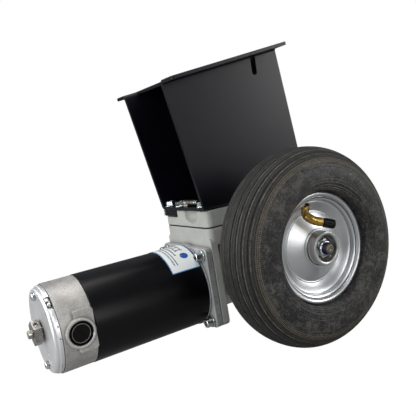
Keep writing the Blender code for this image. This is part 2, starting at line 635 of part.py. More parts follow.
def build_worm_wheel():
    """Helical rim with a web and a hub, drawn about the axle."""
    half_rim, half_web, half_hub = 8, 4, 13
    tip, root = WHEEL_PITCH_RADIUS + ADDENDUM, WHEEL_PITCH_RADIUS - DEDENDUM
    helix_slope = LEAD / (2 * math.pi * WORM_PITCH_RADIUS)
    pitch = 2 * math.pi / TEETH
    phase = math.radians(-90)
    # tooth section: (place in fractions of a pitch, radius)
    tooth = ((-0.30, root), (-0.12, tip), (0.12, tip), (0.30, root))
    count = TEETH * len(tooth)
    points, faces = [], []

    def tooth_ring(y):
        start = len(points)
        shift = -y * helix_slope / WHEEL_PITCH_RADIUS
        for i in range(TEETH):
            middle = i * pitch + shift + phase
            for place, radius in tooth:
                points.append(on_axis("Y", y, *polar(radius, middle + place * pitch)))
        return list(range(start, start + count))

    def circle(y, radius):
        start = len(points)
        for k in range(TEETH):
            points.append(on_axis("Y", y, *polar(radius, turn(k, TEETH) + phase)))
        return list(range(start, start + TEETH))

    def bridge(ring, following):
        size = len(ring)
        for k in range(size):
            n = (k + 1) % size
            faces.append([ring[k], ring[n], following[n], following[k]])

    edges = [tooth_ring(-half_rim), tooth_ring(half_rim)]
    bridge(*edges)
    bores = []
    for sign, edge in zip((-1, 1), edges):
        rim = circle(sign * half_rim, 24.5)
        for i in range(TEETH):
            n = (i + 1) % TEETH
            corners = edge[4 * i:4 * i + 4]
            faces.append([rim[i]] + corners)
            faces.append([rim[i], corners[3], edge[4 * n], rim[n]])
        rings = [rim, circle(sign * half_web, 24.0), circle(sign * half_web, 17.5),
                 circle(sign * half_hub, 17.5), circle(sign * half_hub, 12.9)]
        for ring, following in zip(rings, rings[1:]):
            bridge(ring, following)
        bores.append(rings[-1])
    bridge(*bores)
    wheel = add_mesh("worm_wheel", points, faces, AXLE, BRONZE)
    cut(wheel, box("gear_slot", (-KEYWAY_HALF, -16.0, 8.0), (KEYWAY_HALF, 16.0, 15.2), AXLE))


# ------------------------------------------------------------------ shafts' fittings
def build_output_shaft():
    shaft = lathe("output_shaft", "Y", [
        (48.2, 0), (48.2, 9.4), (47.6, 10.0), (18.0, 10.0), (18.0, 12.5), (-13.6, 12.5),
        (-13.6, 14.2), (-30.0, 14.2), (-30.0, 12.2), (-61.0, 12.2), (-61.0, 10.0), (-86.0, 10.0),
        (-86.0, 13.0), (-103.0, 13.0), (-103.0, 9.8), (-151.0, 9.8), (-151.0, 5.9),
        (-171.0, 5.9), (-172.2, 4.7), (-172.2, 0),
    ], 16, AXLE, STEEL)
    cut(shaft,
        box("hub_keyway", (-KEYWAY_HALF, -140.0, 7.0), (KEYWAY_HALF, -112.0, 12.0), AXLE),
        box("gear_keyway", (-KEYWAY_HALF, -10.0, 9.0), (KEYWAY_HALF, 10.0, 16.0), AXLE))


def build_keys():
    box("gear_key", (-KEY_HALF, -9.5, 9.4), (KEY_HALF, 9.5, 14.8), AXLE, STEEL)
    box("hub_key", (-KEY_HALF, -139.5, 7.4), (KEY_HALF, -112.5, 12.0), AXLE, STEEL)


def build_bearings():
    bearing("motor_bearing_rear", "X", -186.0, -177.4, 7.8, 17.4, GEARMOTOR)
    bearing("motor_bearing_front", "X", -3.2, 8.0, 8.6, 20.0, GEARMOTOR)
    bearing("worm_end_bearing", "X", 121.8, 131.8, 6.1, 16.0, GEARMOTOR)
    bearing("output_bearing_outboard", "Y", -76.2, -62.0, 10.4, 23.5, GEARMOTOR, AXLE_AT)
    bearing("output_bearing_inboard", "Y", 34.0, 48.0, 10.4, 23.5, GEARMOTOR, AXLE_AT)


def build_seals():
    lathe("input_seal", "X", [
        (10.0, 8.6), (10.0, 15.6), (17.0, 15.6), (17.0, 14.4), (11.6, 14.4), (11.6, 10.0),
        (15.0, 8.6),
    ], 16, GEARMOTOR, RUBBER)
    lathe("output_seal", "Y", [
        (-84.0, 10.6), (-84.0, 17.6), (-77.0, 17.6), (-77.0, 16.4), (-82.4, 16.4), (-82.4, 11.6),
        (-79.0, 10.6),
    ], 16, GEARMOTOR, RUBBER, AXLE_AT)


def build_bearing_cover():
    lathe("bearing_cover", "Y", [
        (48.6, 0), (48.6, 23.4), (53.8, 23.4), (53.8, 32.0), (57.0, 32.0), (57.8, 31.0), (57.8, 0),
    ], 20, GEARMOTOR, GREY_PAINT, AXLE_AT)


def build_worm_end_cap():
    end_cap = lathe("worm_end_cap", "X", [
        (134.0, 0), (134.0, 16.0), (140.4, 16.0), (140.4, 21.0), (143.4, 21.0), (143.4, 0),
    ], 20, GEARMOTOR, ZINC)
    cut(end_cap, prism("cap_hex", "X", ngon(6, 12.0), 139.0, 150.0, GEARMOTOR))


# ------------------------------------------------------------------ wheel
def at_wheel(profile):
    """Moves a profile drawn about the wheel's mid plane to its place on the axle."""
    return [(WHEEL_Y + height, radius) for height, radius in profile]


def mirrored(profile):
    return [(-height, radius) for height, radius in profile]


def signed_power(value, power):
    return math.copysign(abs(value) ** power, value)


def build_tyre():
    """Outer carcass from bead to bead, then back along the inside."""
    squareness = 0.85  # exponent that fills out the round section
    section_centre = TYRE_RADIUS - SECTION_RADIUS
    outer, inner = [], []
    for k in range(11):
        angle = math.radians(-122 + 244 * k / 10)
        across, outward = math.sin(angle), math.cos(angle)
        reach = SECTION_RADIUS if outward > 0 else 26.0
        outer.append((SECTION_RADIUS * signed_power(across, squareness),
                      section_centre + reach * signed_power(outward, squareness)))
    for k in range(5):
        angle = math.radians(112 - 224 * k / 4)
        inner.append((24.5 * math.sin(angle), section_centre - 1 + 24.5 * math.cos(angle)))
    bead = [(-16.4, 53.3), (-17.8, 58.6), (-18.2, 62.0)]
    bead_inside = [(11.5, 53.3), (11.8, 60.0)]
    profile = (bead + outer + mirrored(bead[::-1])
               + bead_inside + inner + mirrored(bead_inside[::-1]))
    lathe("tyre", "Y", at_wheel(profile), 32, AXLE, RUBBER)


def build_inner_tube():
    profile = [(20.0 * math.sin(turn(k, 8)), 79.0 + 19.0 * math.cos(turn(k, 8)))
               for k in range(8)]
    lathe("inner_tube", "Y", at_wheel(profile), 20, AXLE, RUBBER)


def build_rim():
    """Two pressed halves; the valve hole goes through the outer (-Y) one."""
    lip = [(-RIM_HALF, LIP_RADIUS - 0.6), (-RIM_HALF + 1.3, LIP_RADIUS),
           (-18.6, 58.5), (-16.9, 52.6)]
    outer_half = lathe("rim_outer_half", "Y", at_wheel(lip + [
        (-0.4, 52.0), (-0.4, 50.0), (-9.2, 50.0), (-3.9, 40.8), (-14.0, 19.2), (-16.3, 19.2),
        (-6.1, 40.6), (-12.1, 51.0), (-17.6, 50.9), (-20.4, 56.6),
    ]), 32, AXLE, RIM_STEEL)
    lathe("rim_inner_half", "Y", at_wheel(mirrored(lip) + [
        (0.0, 52.0), (0.0, 50.0), (8.0, 50.0), (10.0, 48.0), (10.0, 19.2), (12.4, 19.2),
        (12.4, 47.4), (17.6, 50.9), (20.4, 56.6),
    ]), 32, AXLE, RIM_STEEL)
    cut(outer_half, rod("valve_hole", "Y", -156.0, -142.5, 5.5, 16, AXLE, centre=(-6.2, 45.3)))


def build_wheel_hub():
    inner_end, bore, recess, recess_floor = -103.5, 10.2, 14.7, -152.4
    hub = lathe("wheel_hub", "Y", [
        (inner_end, bore), (inner_end, HUB_RADIUS - 0.8), (inner_end - 0.8, HUB_RADIUS),
        (-157.6, HUB_RADIUS), (-158.4, HUB_RADIUS - 0.9), (-159.2, HUB_RADIUS),
        (HUB_END + 1, HUB_RADIUS), (HUB_END, HUB_RADIUS - 1), (HUB_END, 15.4),
        (HUB_END + 0.8, recess), (recess_floor, recess), (recess_floor, bore),
    ], 24, AXLE, RIM_STEEL)
    cut(hub, box("hub_slot", (-KEYWAY_HALF, -152.0, 8.0), (KEYWAY_HALF, -100.0, 12.4), AXLE))


def build_hub_nut():
    """Washer and collared nut on the outer end of the output shaft."""
    lathe("hub_washer", "Y", [(-155.2, 6.4), (-155.2, 12.6), (-152.8, 12.6), (-152.8, 6.4)],
          20, AXLE, ZINC)
    nut = prism("hub_nut", "Y", ngon(6, 19.0, 0.2), -162.0, -155.6, AXLE, ZINC)
    unite(nut, lathe("nut_collar", "Y", [
        (-161.0, 0), (-161.0, 8.9), (-165.0, 8.7), (-165.8, 7.6), (-165.8, 0),
    ], 28, AXLE))
    cut(nut, rod("nut_bore", "Y", -175, -150, 6.2, 24, AXLE))


# ------------------------------------------------------------------ valve
# centre line (x, y, z) of the stem, from the rim to the cap
VALVE_LINE = [
    (-5.8, -142.0, 45.0), (-6.2, -149.4, 45.2), (-13.2, -154.5, 43.6), (-15.9, -157.6, 40.2),
    (-14.3, -161.2, 36.2), (-9.8, -164.5, 32.6), (-3.2, -168.0, 29.7),
]
VALVE_END = Vector(VALVE_LINE[-1])
CAP_AXIS = (Vector((9.8, -175.4, 24.5)) - VALVE_END).normalized()


def sweep(name, points, radii, parent, mat, sides=8):
    """Round bar along a smooth path."""
    rings, side = [], Vector((0.2, 0.1, 1.0))
    for i, point in enumerate(points):
        along = (points[min(i + 1, len(points) - 1)] - points[max(i - 1, 0)]).normalized()
        side = (side - along * side.dot(along)).normalized()
        other = along.cross(side)
        ring = []
        for j in range(sides):
            angle = turn(j, sides)
            offset = side * math.cos(angle) + other * math.sin(angle)
            ring.append(tuple(point + radii[i] * offset))
        rings.append(ring)
    loft(name, rings, parent, mat)


def curve_points(control, steps):
    """Catmull-Rom points through the control points."""
    knots = [Vector(point) for point in control]
    knots = [knots[0] * 2 - knots[1]] + knots + [knots[-1] * 2 - knots[-2]]
    points = []
    for i in range(1, len(knots) - 2):
        before, start, end, after = knots[i - 1:i + 3]
        for k in range(steps):
            t = k / steps
            points.append(0.5 * (
                2 * start + (end - before) * t
                + (2 * before - 5 * start + 4 * end - after) * t * t
                + (3 * start - before - 3 * end + after) * t ** 3
            ))
    points.append(knots[-2])
    return points


def build_valve_stem():
    """Bent stem that thickens towards its end, then a thin neck inside the cap."""
    points = curve_points(VALVE_LINE, 3)
    radii = [3.5 + 1.3 * min(1, max(0, (i - 3) / 9)) for i in range(len(points) - 1)] + [4.4]
    points += [VALVE_END + CAP_AXIS * distance for distance in (0.4, 1.0, 5.0)]
    radii += [3.0, 2.5, 2.5]
    sweep("valve_stem", points, radii, AXLE, BRASS)


def build_valve_cap():
    cap = lathe("valve_cap", "Z", [
        (0, 3.0), (0, 5.2), (8.5, 5.2), (11.6, 4.8), (13.0, 3.4), (13.0, 0), (6.0, 0), (6.0, 3.0),
    ], 16, AXLE, PLASTIC)
    cap.location = (VALVE_END + CAP_AXIS * 1.0) * MM
    cap.rotation_mode = "QUATERNION"
    cap.rotation_quaternion = CAP_AXIS.to_track_quat("Z", "Y")


# ------------------------------------------------------------------ bracket, bracket frame
def mirror_y(points):
    return [(-y, z) for y, z in points]


def hat_section(floor):
    """Cross-section (y, z): floor, two walls, two outward flanges; floor is the underside."""
    bend = (WALL_Y + BEND_IN, -BEND_OUT)
    floor_bend = (WALL_Y - FLOOR_BEND, floor + FLOOR_BEND)
    flange_y = WALL_Y + OVERHANG
    under = ([(flange_y, -SHEET)] + arc(BEND_IN, 90, 180, 3, bend)
             + arc(FLOOR_BEND, 0, -90, 3, floor_bend))
    over = ([(flange_y, 0.0)] + arc(BEND_OUT, 90, 180, 4, bend)
            + arc(FLOOR_BEND - SHEET, 0, -90, 2, floor_bend))
    return mirror_y(under) + under[::-1] + over + mirror_y(over)[::-1]


def edge_x(z):
    """The leaning +X edge of the bracket at height z."""
    return HALF_LENGTH - EDGE_LEAN * abs(z)


def floor_z(distance):
    """Underside of the floor at a distance from the -X end."""
    return FLOOR_NEAR_Z - math.tan(TILT) * distance


def build_bracket():
    far_floor = floor_z(edge_x(floor_z(2 * HALF_LENGTH - 11)) + HALF_LENGTH)
    bracket = loft("mounting_bracket", [
        [(-HALF_LENGTH, y, z) for y, z in hat_section(FLOOR_NEAR_Z)],
        [(edge_x(z), y, z) for y, z in hat_section(far_floor)],
    ], None, BLACK_COAT)

    # bulkhead across the +X end, following its lean
    top, bottom = -1.0, floor_z(2 * HALF_LENGTH - 20) + 2.0
    outline = [(edge_x(z) - inset, z)
               for z, inset in ((top, 12.0), (top, 8.0), (bottom, 8.0), (bottom, 12.0))]
    unite(bracket, prism("bulkhead", "Y", outline, -WALL_Y + 2, WALL_Y - 2, None))

    # rounds the flange corners, just inside the sheet's edges
    trim_x, trim_y = HALF_LENGTH - 0.01, WALL_Y + OVERHANG - 0.01
    trim = prism("flange_trim", "Z", round_rect(-trim_x, trim_x, -trim_y, trim_y, 5, 3),
                 -300, 10, None)
    boolean(bracket, trim, "INTERSECT")

    for k, place in enumerate(BRACKET_BOLTS, 1):
        cut(bracket, rod("floor_hole_%d" % k, "Z", 90, 101, 4.5, 12, GEARMOTOR, centre=place))
    cut(bracket, rod("breather_hole", "Z", 90, 101, 3.6, 16, GEARMOTOR, centre=BREATHER))

    # round-bottomed slot in the -Y wall
    slot_half = 3.75
    outline = arc(slot_half, 180, 360, 6, (0, -14.0)) + [(slot_half, 5.0), (-slot_half, 5.0)]
    slot = prism("lead_slot", "Y", outline, -60.0, -45.0, None)
    slot.location = Vector((46.6, 0, -9.5)) * MM
    slot.rotation_euler = (0, TILT, 0)
    cut(bracket, slot)

    for k, place in enumerate(((-62, -68), (62, -68), (-62, 68), (62, 68))):
        cut(bracket, rod("flange_bore_%d" % k, "Z", -10, 5, 4.5, 12, None, centre=place))


def build_tie_plate():
    """Plate between the walls, its long edges following the bend."""
    bend_y, radius = WALL_Y + BEND_IN, BEND_OUT + GAP
    top_y = bend_y - math.sqrt(radius ** 2 - BEND_OUT ** 2)
    half = ([(WALL_Y - SHEET - GAP, -SHEET)]
            + arc(radius, 157.5, 112.5, 2, (bend_y, -BEND_OUT)) + [(top_y, 0.0)])
    prism("tie_plate", "X", half + mirror_y(half)[::-1], TIE_REAR, TIE_FRONT, None, BLACK_COAT)


# ------------------------------------------------------------------ assembly
build_motor_tube()
build_rear_bell()
build_rear_plate()
build_through_bolts()
build_magnets()
build_rating_label()
for letter, direction in SIDES:
    build_brush(letter, direction)
    build_brush_cap(letter, direction)
    build_brush_spring(letter, direction)

build_rotor_shaft()
build_armature_core()
build_armature_winding()
build_commutator()
build_shaft_collar()

build_front_flange()
build_flange_screws()
build_housing()
build_gasket()
build_cover()
build_bracket_bolts()
build_breather()
build_ribbed_pad()

build_worm()
build_worm_wheel()
build_output_shaft()
build_keys()
build_bearings()
build_seals()
build_bearing_cover()
build_worm_end_cap()

build_tyre()
build_inner_tube()
build_rim()
build_wheel_hub()
build_hub_nut()
build_valve_stem()
build_valve_cap()

build_bracket()
build_tie_plate()
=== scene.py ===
"""Looks for a geared DC drive unit: motor, worm gearbox, tyred wheel and sheet bracket.

Sizes are in millimetres and each piece is drawn in one of these frames:
ROW        the row's own frame: bracket rims at z = 0, x along the row, z up
GEARMOTOR  x along the motor towards the gearbox, tilted down at +x; the motor's front is x = 0
AXLE       as GEARMOTOR, with its origin on the output axis; y runs along the axle
WHEEL      as AXLE, with its origin at the middle of the wheel; the wheel's outer face is at -y
"""

import math

import bmesh
import bpy
import numpy as np
from mathutils import Matrix, Vector


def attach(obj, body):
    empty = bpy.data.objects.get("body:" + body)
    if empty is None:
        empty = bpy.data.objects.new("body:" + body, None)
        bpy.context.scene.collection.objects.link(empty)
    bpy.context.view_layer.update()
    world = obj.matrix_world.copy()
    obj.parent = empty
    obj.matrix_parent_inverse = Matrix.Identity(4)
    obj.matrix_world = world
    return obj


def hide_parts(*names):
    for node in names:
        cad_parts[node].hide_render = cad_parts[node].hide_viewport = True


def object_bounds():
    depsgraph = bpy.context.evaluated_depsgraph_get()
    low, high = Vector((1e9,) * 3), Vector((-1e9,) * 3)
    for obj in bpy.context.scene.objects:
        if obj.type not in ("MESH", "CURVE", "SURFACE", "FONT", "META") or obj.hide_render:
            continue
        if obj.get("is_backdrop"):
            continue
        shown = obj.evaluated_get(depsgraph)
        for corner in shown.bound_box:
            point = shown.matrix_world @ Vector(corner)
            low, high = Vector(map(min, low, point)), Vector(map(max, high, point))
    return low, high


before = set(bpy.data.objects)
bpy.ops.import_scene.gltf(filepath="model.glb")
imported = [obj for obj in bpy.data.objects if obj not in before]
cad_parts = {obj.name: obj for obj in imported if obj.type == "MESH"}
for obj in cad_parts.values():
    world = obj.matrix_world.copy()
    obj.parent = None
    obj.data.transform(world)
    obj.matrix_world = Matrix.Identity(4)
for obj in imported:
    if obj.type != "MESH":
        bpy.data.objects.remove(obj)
CAD_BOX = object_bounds()

MM = 0.001
TILT = math.radians(10.5)
MOTOR_X, MOTOR_Z = -110.3, -248.5     # GEARMOTOR origin in the row frame
AXLE_CENTRE = (84.5, 40.0)            # x and z of the output axis in GEARMOTOR
WHEEL_Y = -139.0
BRUSH_X = -161.2                      # axis of the brush bosses
HALF_WIDTH = 53.4                     # of flange and gearbox
FLANGE_HOLES = ((-44, 41), (-44, -41), (44, 41), (44, -41))  # y, z
# bolts through gearbox cover and bracket floor: x, y
BRACKET_BOLTS = ((13.8, 40.0), (13.8, 12.5), (13.8, -41.5), (150.0, 40.0), (150.0, -40.0))
BREATHER_X = 15.5

ROW = Matrix.Scale(MM, 4)
GEARMOTOR = (Matrix.Translation((MOTOR_X * MM, 0, MOTOR_Z * MM))
             @ Matrix.Rotation(TILT, 4, "Y") @ Matrix.Scale(MM, 4))
AXLE = GEARMOTOR @ Matrix.Translation((AXLE_CENTRE[0], 0, AXLE_CENTRE[1]))
WHEEL = AXLE @ Matrix.Translation((0, WHEEL_Y, 0))
# the same frames in metres, for shader coordinates and the camera
GEARMOTOR_M = GEARMOTOR @ Matrix.Scale(1 / MM, 4)
AXLE_M = AXLE @ Matrix.Scale(1 / MM, 4)


# =============================================================== node helpers
class Net:
    """Short-hand for building a node tree. Coordinates are in millimetres."""

    def __init__(self, tree):
        self.tree = tree
        self.shader = tree.nodes.get("Principled BSDF")
        self.position = None

    def new(self, kind, inputs=None, **settings):
        node = self.tree.nodes.new("ShaderNode" + kind)
        for key, value in settings.items():
            setattr(node, key, value)
        for key, value in (inputs or {}).items():
            self.plug(node.inputs[key], value)
        return node

    def plug(self, socket, value):
        """Links an output to the socket, or sets a plain value."""
        if hasattr(value, "is_output"):
            self.tree.links.new(value, socket)
        else:
            socket.default_value = value

    def set_shader(self, **sockets):
        """Fills the Principled sockets; an underscore stands for a space."""
        for key, value in sockets.items():
            self.plug(self.shader.inputs[key.replace("_", " ")], value)

    def object_position(self):
        if self.position is None:
            coordinates = self.new("TexCoord").outputs["Object"]
            scaled = self.new("VectorMath", {0: coordinates, "Scale": 1000.0}, operation="SCALE")
            self.position = scaled.outputs[0]
        return self.position

    def local(self, matrix):
        """Coordinates in another frame, given in metres."""
        inverse = matrix.inverted()
        mapping = {0: self.object_position(), "Location": inverse.translation * 1000,
                   "Rotation": inverse.to_euler()}
        return self.new("Mapping", mapping, vector_type="POINT").outputs[0]

    def split(self, vector):
        return self.new("SeparateXYZ", {0: vector}).outputs

    def math(self, operation, a, b=0.0):
        return self.new("Math", {0: a, 1: b, 2: 0.0}, operation=operation).outputs[0]

    def times(self, a, b):
        return self.math("MULTIPLY", a, b)

    def hypot(self, a, b):
        return self.math("SQRT", self.math("ADD", self.times(a, a), self.times(b, b)))

    def ramp(self, value, span, to=(0.0, 1.0)):
        """Smooth step from to[0] at span[0] to to[1] at span[1]."""
        limits = {"Value": value, "From Min": span[0], "From Max": span[1],
                  "To Min": to[0], "To Max": to[1]}
        return self.new("MapRange", limits, interpolation_type="SMOOTHSTEP", clamp=True).outputs[0]

    def between(self, value, rise, fall):
        return self.times(self.ramp(value, rise), self.ramp(value, fall))

    def noise(self, scale, detail=3.0, rough=0.55, vector=None):
        """Noise of the given scale per millimetre."""
        vector = vector or self.object_position()
        return self.new("TexNoise", {"Vector": vector, "Scale": scale, "Detail": detail,
                                     "Roughness": rough}).outputs["Fac"]

    def mix(self, amount, a, b):
        a, b = [c if hasattr(c, "is_output") else (*c, 1) for c in (a, b)]
        return self.new("Mix", {0: amount, 6: a, 7: b}, data_type="RGBA").outputs[2]

    def spread(self, colour, noise, span, strength, mask, over):
        """(amount, colour) with `over` laid on where the noise is high and the mask allows."""
        amount = self.times(self.ramp(noise, span, (0.0, strength)), mask)
        return amount, self.mix(amount, colour, over)

    def rounded(self, radius):
        """Normal with edges rounded to the radius."""
        return self.new("Bevel", {"Radius": radius * MM}, samples=4).outputs[0]

    def edge_mask(self, rounded):
        """1 where the rounded normal leaves the face normal, 0 on flats."""
        face = self.new("NewGeometry").outputs["Normal"]
        dot = self.new("VectorMath", {0: rounded, 1: face}, operation="DOT_PRODUCT")
        return self.ramp(dot.outputs["Value"], (0.75, 0.98), (1.0, 0.0))

    def bump(self, height, depth, normal, strength=1.0):
        return self.new("Bump", {"Strength": strength, "Distance": depth * MM,
                                 "Height": height, "Normal": normal}).outputs[0]


MATERIALS = {}


def new_net(key, name):
    """Makes a material, files it under the key and returns its net."""
    material = bpy.data.materials.new(name)
    material.use_nodes = True
    MATERIALS[key] = material
    return Net(material.node_tree)


def scaled(colour, factor):
    return tuple(c * factor for c in colour)


# =============================================================== materials
def surface(key, name, colour, rough, metal=0.0, tint=None, drift=0.10, drift_scale=0.035,
            gloss_drift=0.08, bumps=((0.8, 0.02),), radius=0.35, specular=0.5,
            grain=None, dirt=None, edge_wear_and_highlight=None, crevice_shade=None):
    """A finish with colour drift, uneven gloss, surface grain and rounded edges, with optional
    edge lightening (partly wear, partly a painted highlight) and painted shade in creases.

    The colour drifts by a fraction either way, or up to `tint`. radius is the rounding of edges.
    bumps: (noise scale, depth) each.  grain, dirt: (noise scale, strength, colour).
    edge_wear_and_highlight, edge lightening that is partly wear and partly a painted highlight:
    (strength, colour).  crevice_shade, painted shade that darkens creases by ambient occlusion:
    (reach, strength, colour).
    """
    net = new_net(key, name)
    shade = net.mix(net.ramp(net.noise(drift_scale, detail=4), (0.35, 0.65)),
                    scaled(colour, 1 - drift), tint or scaled(colour, 1 + drift))
    if grain:
        scale, strength, over = grain
        amount = net.ramp(net.noise(scale, detail=2), (0.35, 0.7), (0, strength))
        shade = net.mix(amount, shade, over)
    normal = net.rounded(radius)
    if dirt:
        scale, strength, over = dirt
        amount = net.ramp(net.noise(scale, detail=5), (0.52, 0.75), (0, strength))
        shade = net.mix(amount, shade, over)
    # edges lightened: partly wear, partly a painted highlight
    if edge_wear_and_highlight:
        strength, over = edge_wear_and_highlight
        patchy = net.ramp(net.noise(0.5, detail=4), (0.35, 0.65), (0.2, 1.0))
        amount = net.times(net.edge_mask(normal), net.times(patchy, strength))
        shade = net.mix(amount, shade, over)
    # painted shade: creases darkened by ambient occlusion
    if crevice_shade:
        reach, strength, over = crevice_shade
        occlusion = net.new("AmbientOcclusion", {"Distance": reach * MM}, samples=6)
        amount = net.ramp(occlusion.outputs["AO"], (0.35, 0.95), (strength, 0.0))
        shade = net.mix(amount, shade, over)
    for scale, depth in bumps:
        normal = net.bump(net.noise(scale), depth, normal)
    gloss = net.ramp(net.noise(0.12, detail=4), (0.3, 0.7),
                     (rough - gloss_drift, rough + gloss_drift))
    net.set_shader(Base_Color=shade, Roughness=gloss, Metallic=metal, Coat_Roughness=0.15,
                   Specular_IOR_Level=specular, Normal=normal)


# Edge lightening in these finishes is partly wear and partly a painted highlight; the crease
# darkening is painted shade.
surface("tube", "satin_black_enamel", (0.0018, 0.0018, 0.0026), rough=0.29, drift=0.2,
        gloss_drift=0.015, bumps=((0.9, 0.003), (3.0, 0.0015)), radius=0.4,
        edge_wear_and_highlight=(0.10, (0.05, 0.05, 0.05)), specular=0.21)
surface("coat", "black_powder_coat", (0.0020, 0.0021, 0.0050), rough=0.38, drift=0.2,
        gloss_drift=0.01, bumps=((0.6, 0.030), (2.6, 0.003)), radius=0.6,
        edge_wear_and_highlight=(0.35, (0.05, 0.05, 0.05)), specular=0.27)
surface("cast", "cast_aluminium", (0.52, 0.505, 0.48), rough=0.50, metal=0.55, drift=0.14,
        drift_scale=0.06, gloss_drift=0.06, bumps=((0.55, 0.03), (1.6, 0.010)), radius=0.6,
        grain=(0.85, 0.62, (0.27, 0.26, 0.25)), edge_wear_and_highlight=(0.75, (0.88, 0.87, 0.85)),
        dirt=(0.05, 0.5, (0.33, 0.31, 0.29)), crevice_shade=(5.0, 0.85, (0.06, 0.055, 0.05)))
surface("bossface", "machined_boss_face", (0.52, 0.51, 0.49), rough=0.42, metal=0.60, drift=0.05,
        gloss_drift=0.05, bumps=((0.8, 0.003),), radius=0.4, edge_wear_and_highlight=(0.4, (0.85, 0.85, 0.83)))
surface("flange", "cast_flange", (0.47, 0.47, 0.47), rough=0.55, metal=0.45, drift=0.12,
        drift_scale=0.08, bumps=((0.6, 0.03), (1.6, 0.010)), radius=0.9,
        grain=(0.85, 0.60, (0.26, 0.26, 0.265)), edge_wear_and_highlight=(0.8, (0.88, 0.88, 0.88)),
        crevice_shade=(4.0, 0.8, (0.05, 0.05, 0.05)))
surface("paint", "grey_enamel", (0.400, 0.408, 0.378), rough=0.42, drift=0.05, drift_scale=0.05,
        gloss_drift=0.06, bumps=((0.25, 0.02), (1.4, 0.008)), radius=1.0,
        edge_wear_and_highlight=(0.45, (0.62, 0.63, 0.60)), specular=0.45, dirt=(0.08, 0.2, (0.32, 0.32, 0.30)),
        crevice_shade=(6.0, 0.55, (0.12, 0.12, 0.11)))
surface("gasket", "gasket_rubber", (0.010, 0.010, 0.010), rough=0.7, bumps=((1.2, 0.03),),
        specular=0.3)
surface("pad", "ribbed_rubber", (0.006, 0.006, 0.006), rough=0.5, bumps=((0.9, 0.02),),
        edge_wear_and_highlight=(0.5, (0.06, 0.06, 0.06)), specular=0.35)
surface("zinc", "zinc_plating", (0.70, 0.76, 0.78), rough=0.24, metal=1.0,
        tint=(0.84, 0.86, 0.82), drift=0.15, drift_scale=0.15, gloss_drift=0.05,
        bumps=((0.8, 0.0015),), radius=0.25, edge_wear_and_highlight=(0.5, (0.9, 0.93, 0.95)),
        crevice_shade=(2.5, 0.8, (0.05, 0.06, 0.07)))
surface("steel", "ground_steel", (0.42, 0.395, 0.37), rough=0.30, metal=1.0, drift=0.15,
        drift_scale=0.2, gloss_drift=0.06, bumps=((0.8, 0.0015),), radius=0.3,
        edge_wear_and_highlight=(0.5, (0.75, 0.73, 0.7)), crevice_shade=(3.0, 0.6, (0.06, 0.05, 0.045)))
surface("collar", "machined_steel", (0.29, 0.28, 0.265), rough=0.28, metal=1.0, drift=0.12,
        drift_scale=0.2, gloss_drift=0.04, bumps=((0.8, 0.0015),), radius=0.45,
        edge_wear_and_highlight=(0.6, (0.85, 0.83, 0.8)), crevice_shade=(3.0, 0.8, (0.05, 0.045, 0.04)))
surface("brass", "valve_brass", (0.62, 0.41, 0.11), rough=0.32, metal=1.0,
        tint=(0.50, 0.30, 0.07), drift=0.3, drift_scale=0.25, gloss_drift=0.10,
        bumps=((0.5, 0.03), (2.0, 0.01)), radius=0.3, dirt=(0.35, 0.85, (0.035, 0.028, 0.022)))
surface("bronze", "gear_bronze", (0.55, 0.33, 0.14), rough=0.35, metal=1.0,
        bumps=((0.8, 0.01),), edge_wear_and_highlight=(0.5, (0.8, 0.55, 0.3)))
surface("copper", "winding_copper", (0.55, 0.22, 0.08), rough=0.35, metal=1.0,
        bumps=((0.9, 0.05),), edge_wear_and_highlight=(0.4, (0.8, 0.4, 0.2)))
surface("carbon", "pressed_carbon", (0.025, 0.025, 0.027), rough=0.6, metal=0.1,
        bumps=((1.5, 0.02),))
surface("ferrite", "sintered_ferrite", (0.05, 0.05, 0.055), rough=0.7, bumps=((1.3, 0.03),),
        grain=(2.0, 0.4, (0.10, 0.10, 0.10)))
surface("core", "laminated_iron", (0.30, 0.29, 0.28), rough=0.45, metal=1.0,
        bumps=((1.3, 0.03),), dirt=(0.1, 0.4, (0.15, 0.10, 0.07)))
surface("plastic", "black_moulding", (0.0030, 0.0030, 0.0034), rough=0.24, drift=0.2,
        gloss_drift=0.03, bumps=((1.0, 0.002),), edge_wear_and_highlight=(0.4, (0.07, 0.07, 0.07)), specular=0.14)
surface("capring", "cap_rim_highlight", (0.20, 0.19, 0.17), rough=0.4, metal=0.1,
        bumps=((1.0, 0.01),), radius=0.2)
surface("seal", "seal_rubber", (0.03, 0.02, 0.018), rough=0.55, bumps=((1.0, 0.02),))
surface("insert", "blue_insert", (0.006, 0.010, 0.12), rough=0.35, bumps=((1.0, 0.01),),
        radius=0.2)
surface("innertube", "butyl_rubber", (0.02, 0.02, 0.02), rough=0.5, bumps=((0.5, 0.03),))
# painted shade: bores and sockets coloured near black in place of the shade inside them
surface("hole", "painted_shade_bore", (0.012, 0.010, 0.009), rough=0.6, metal=0.1,
        bumps=((1.0, 0.02),), specular=0.25)
LABEL = {"bumps": ((0.12, 0.02),), "radius": 0.1}
surface("white", "label_foil", (0.86, 0.89, 0.90), rough=0.38, drift=0.02, gloss_drift=0.05,
        **LABEL)
surface("blue", "label_blue_ink", (0.015, 0.21, 0.52), rough=0.4, drift=0.06, **LABEL)
surface("dot", "label_bright_blue", (0.0, 0.11, 0.60), rough=0.35, drift=0.05, **LABEL)
surface("ink", "label_grey_ink", (0.022, 0.026, 0.032), rough=0.45, **LABEL)


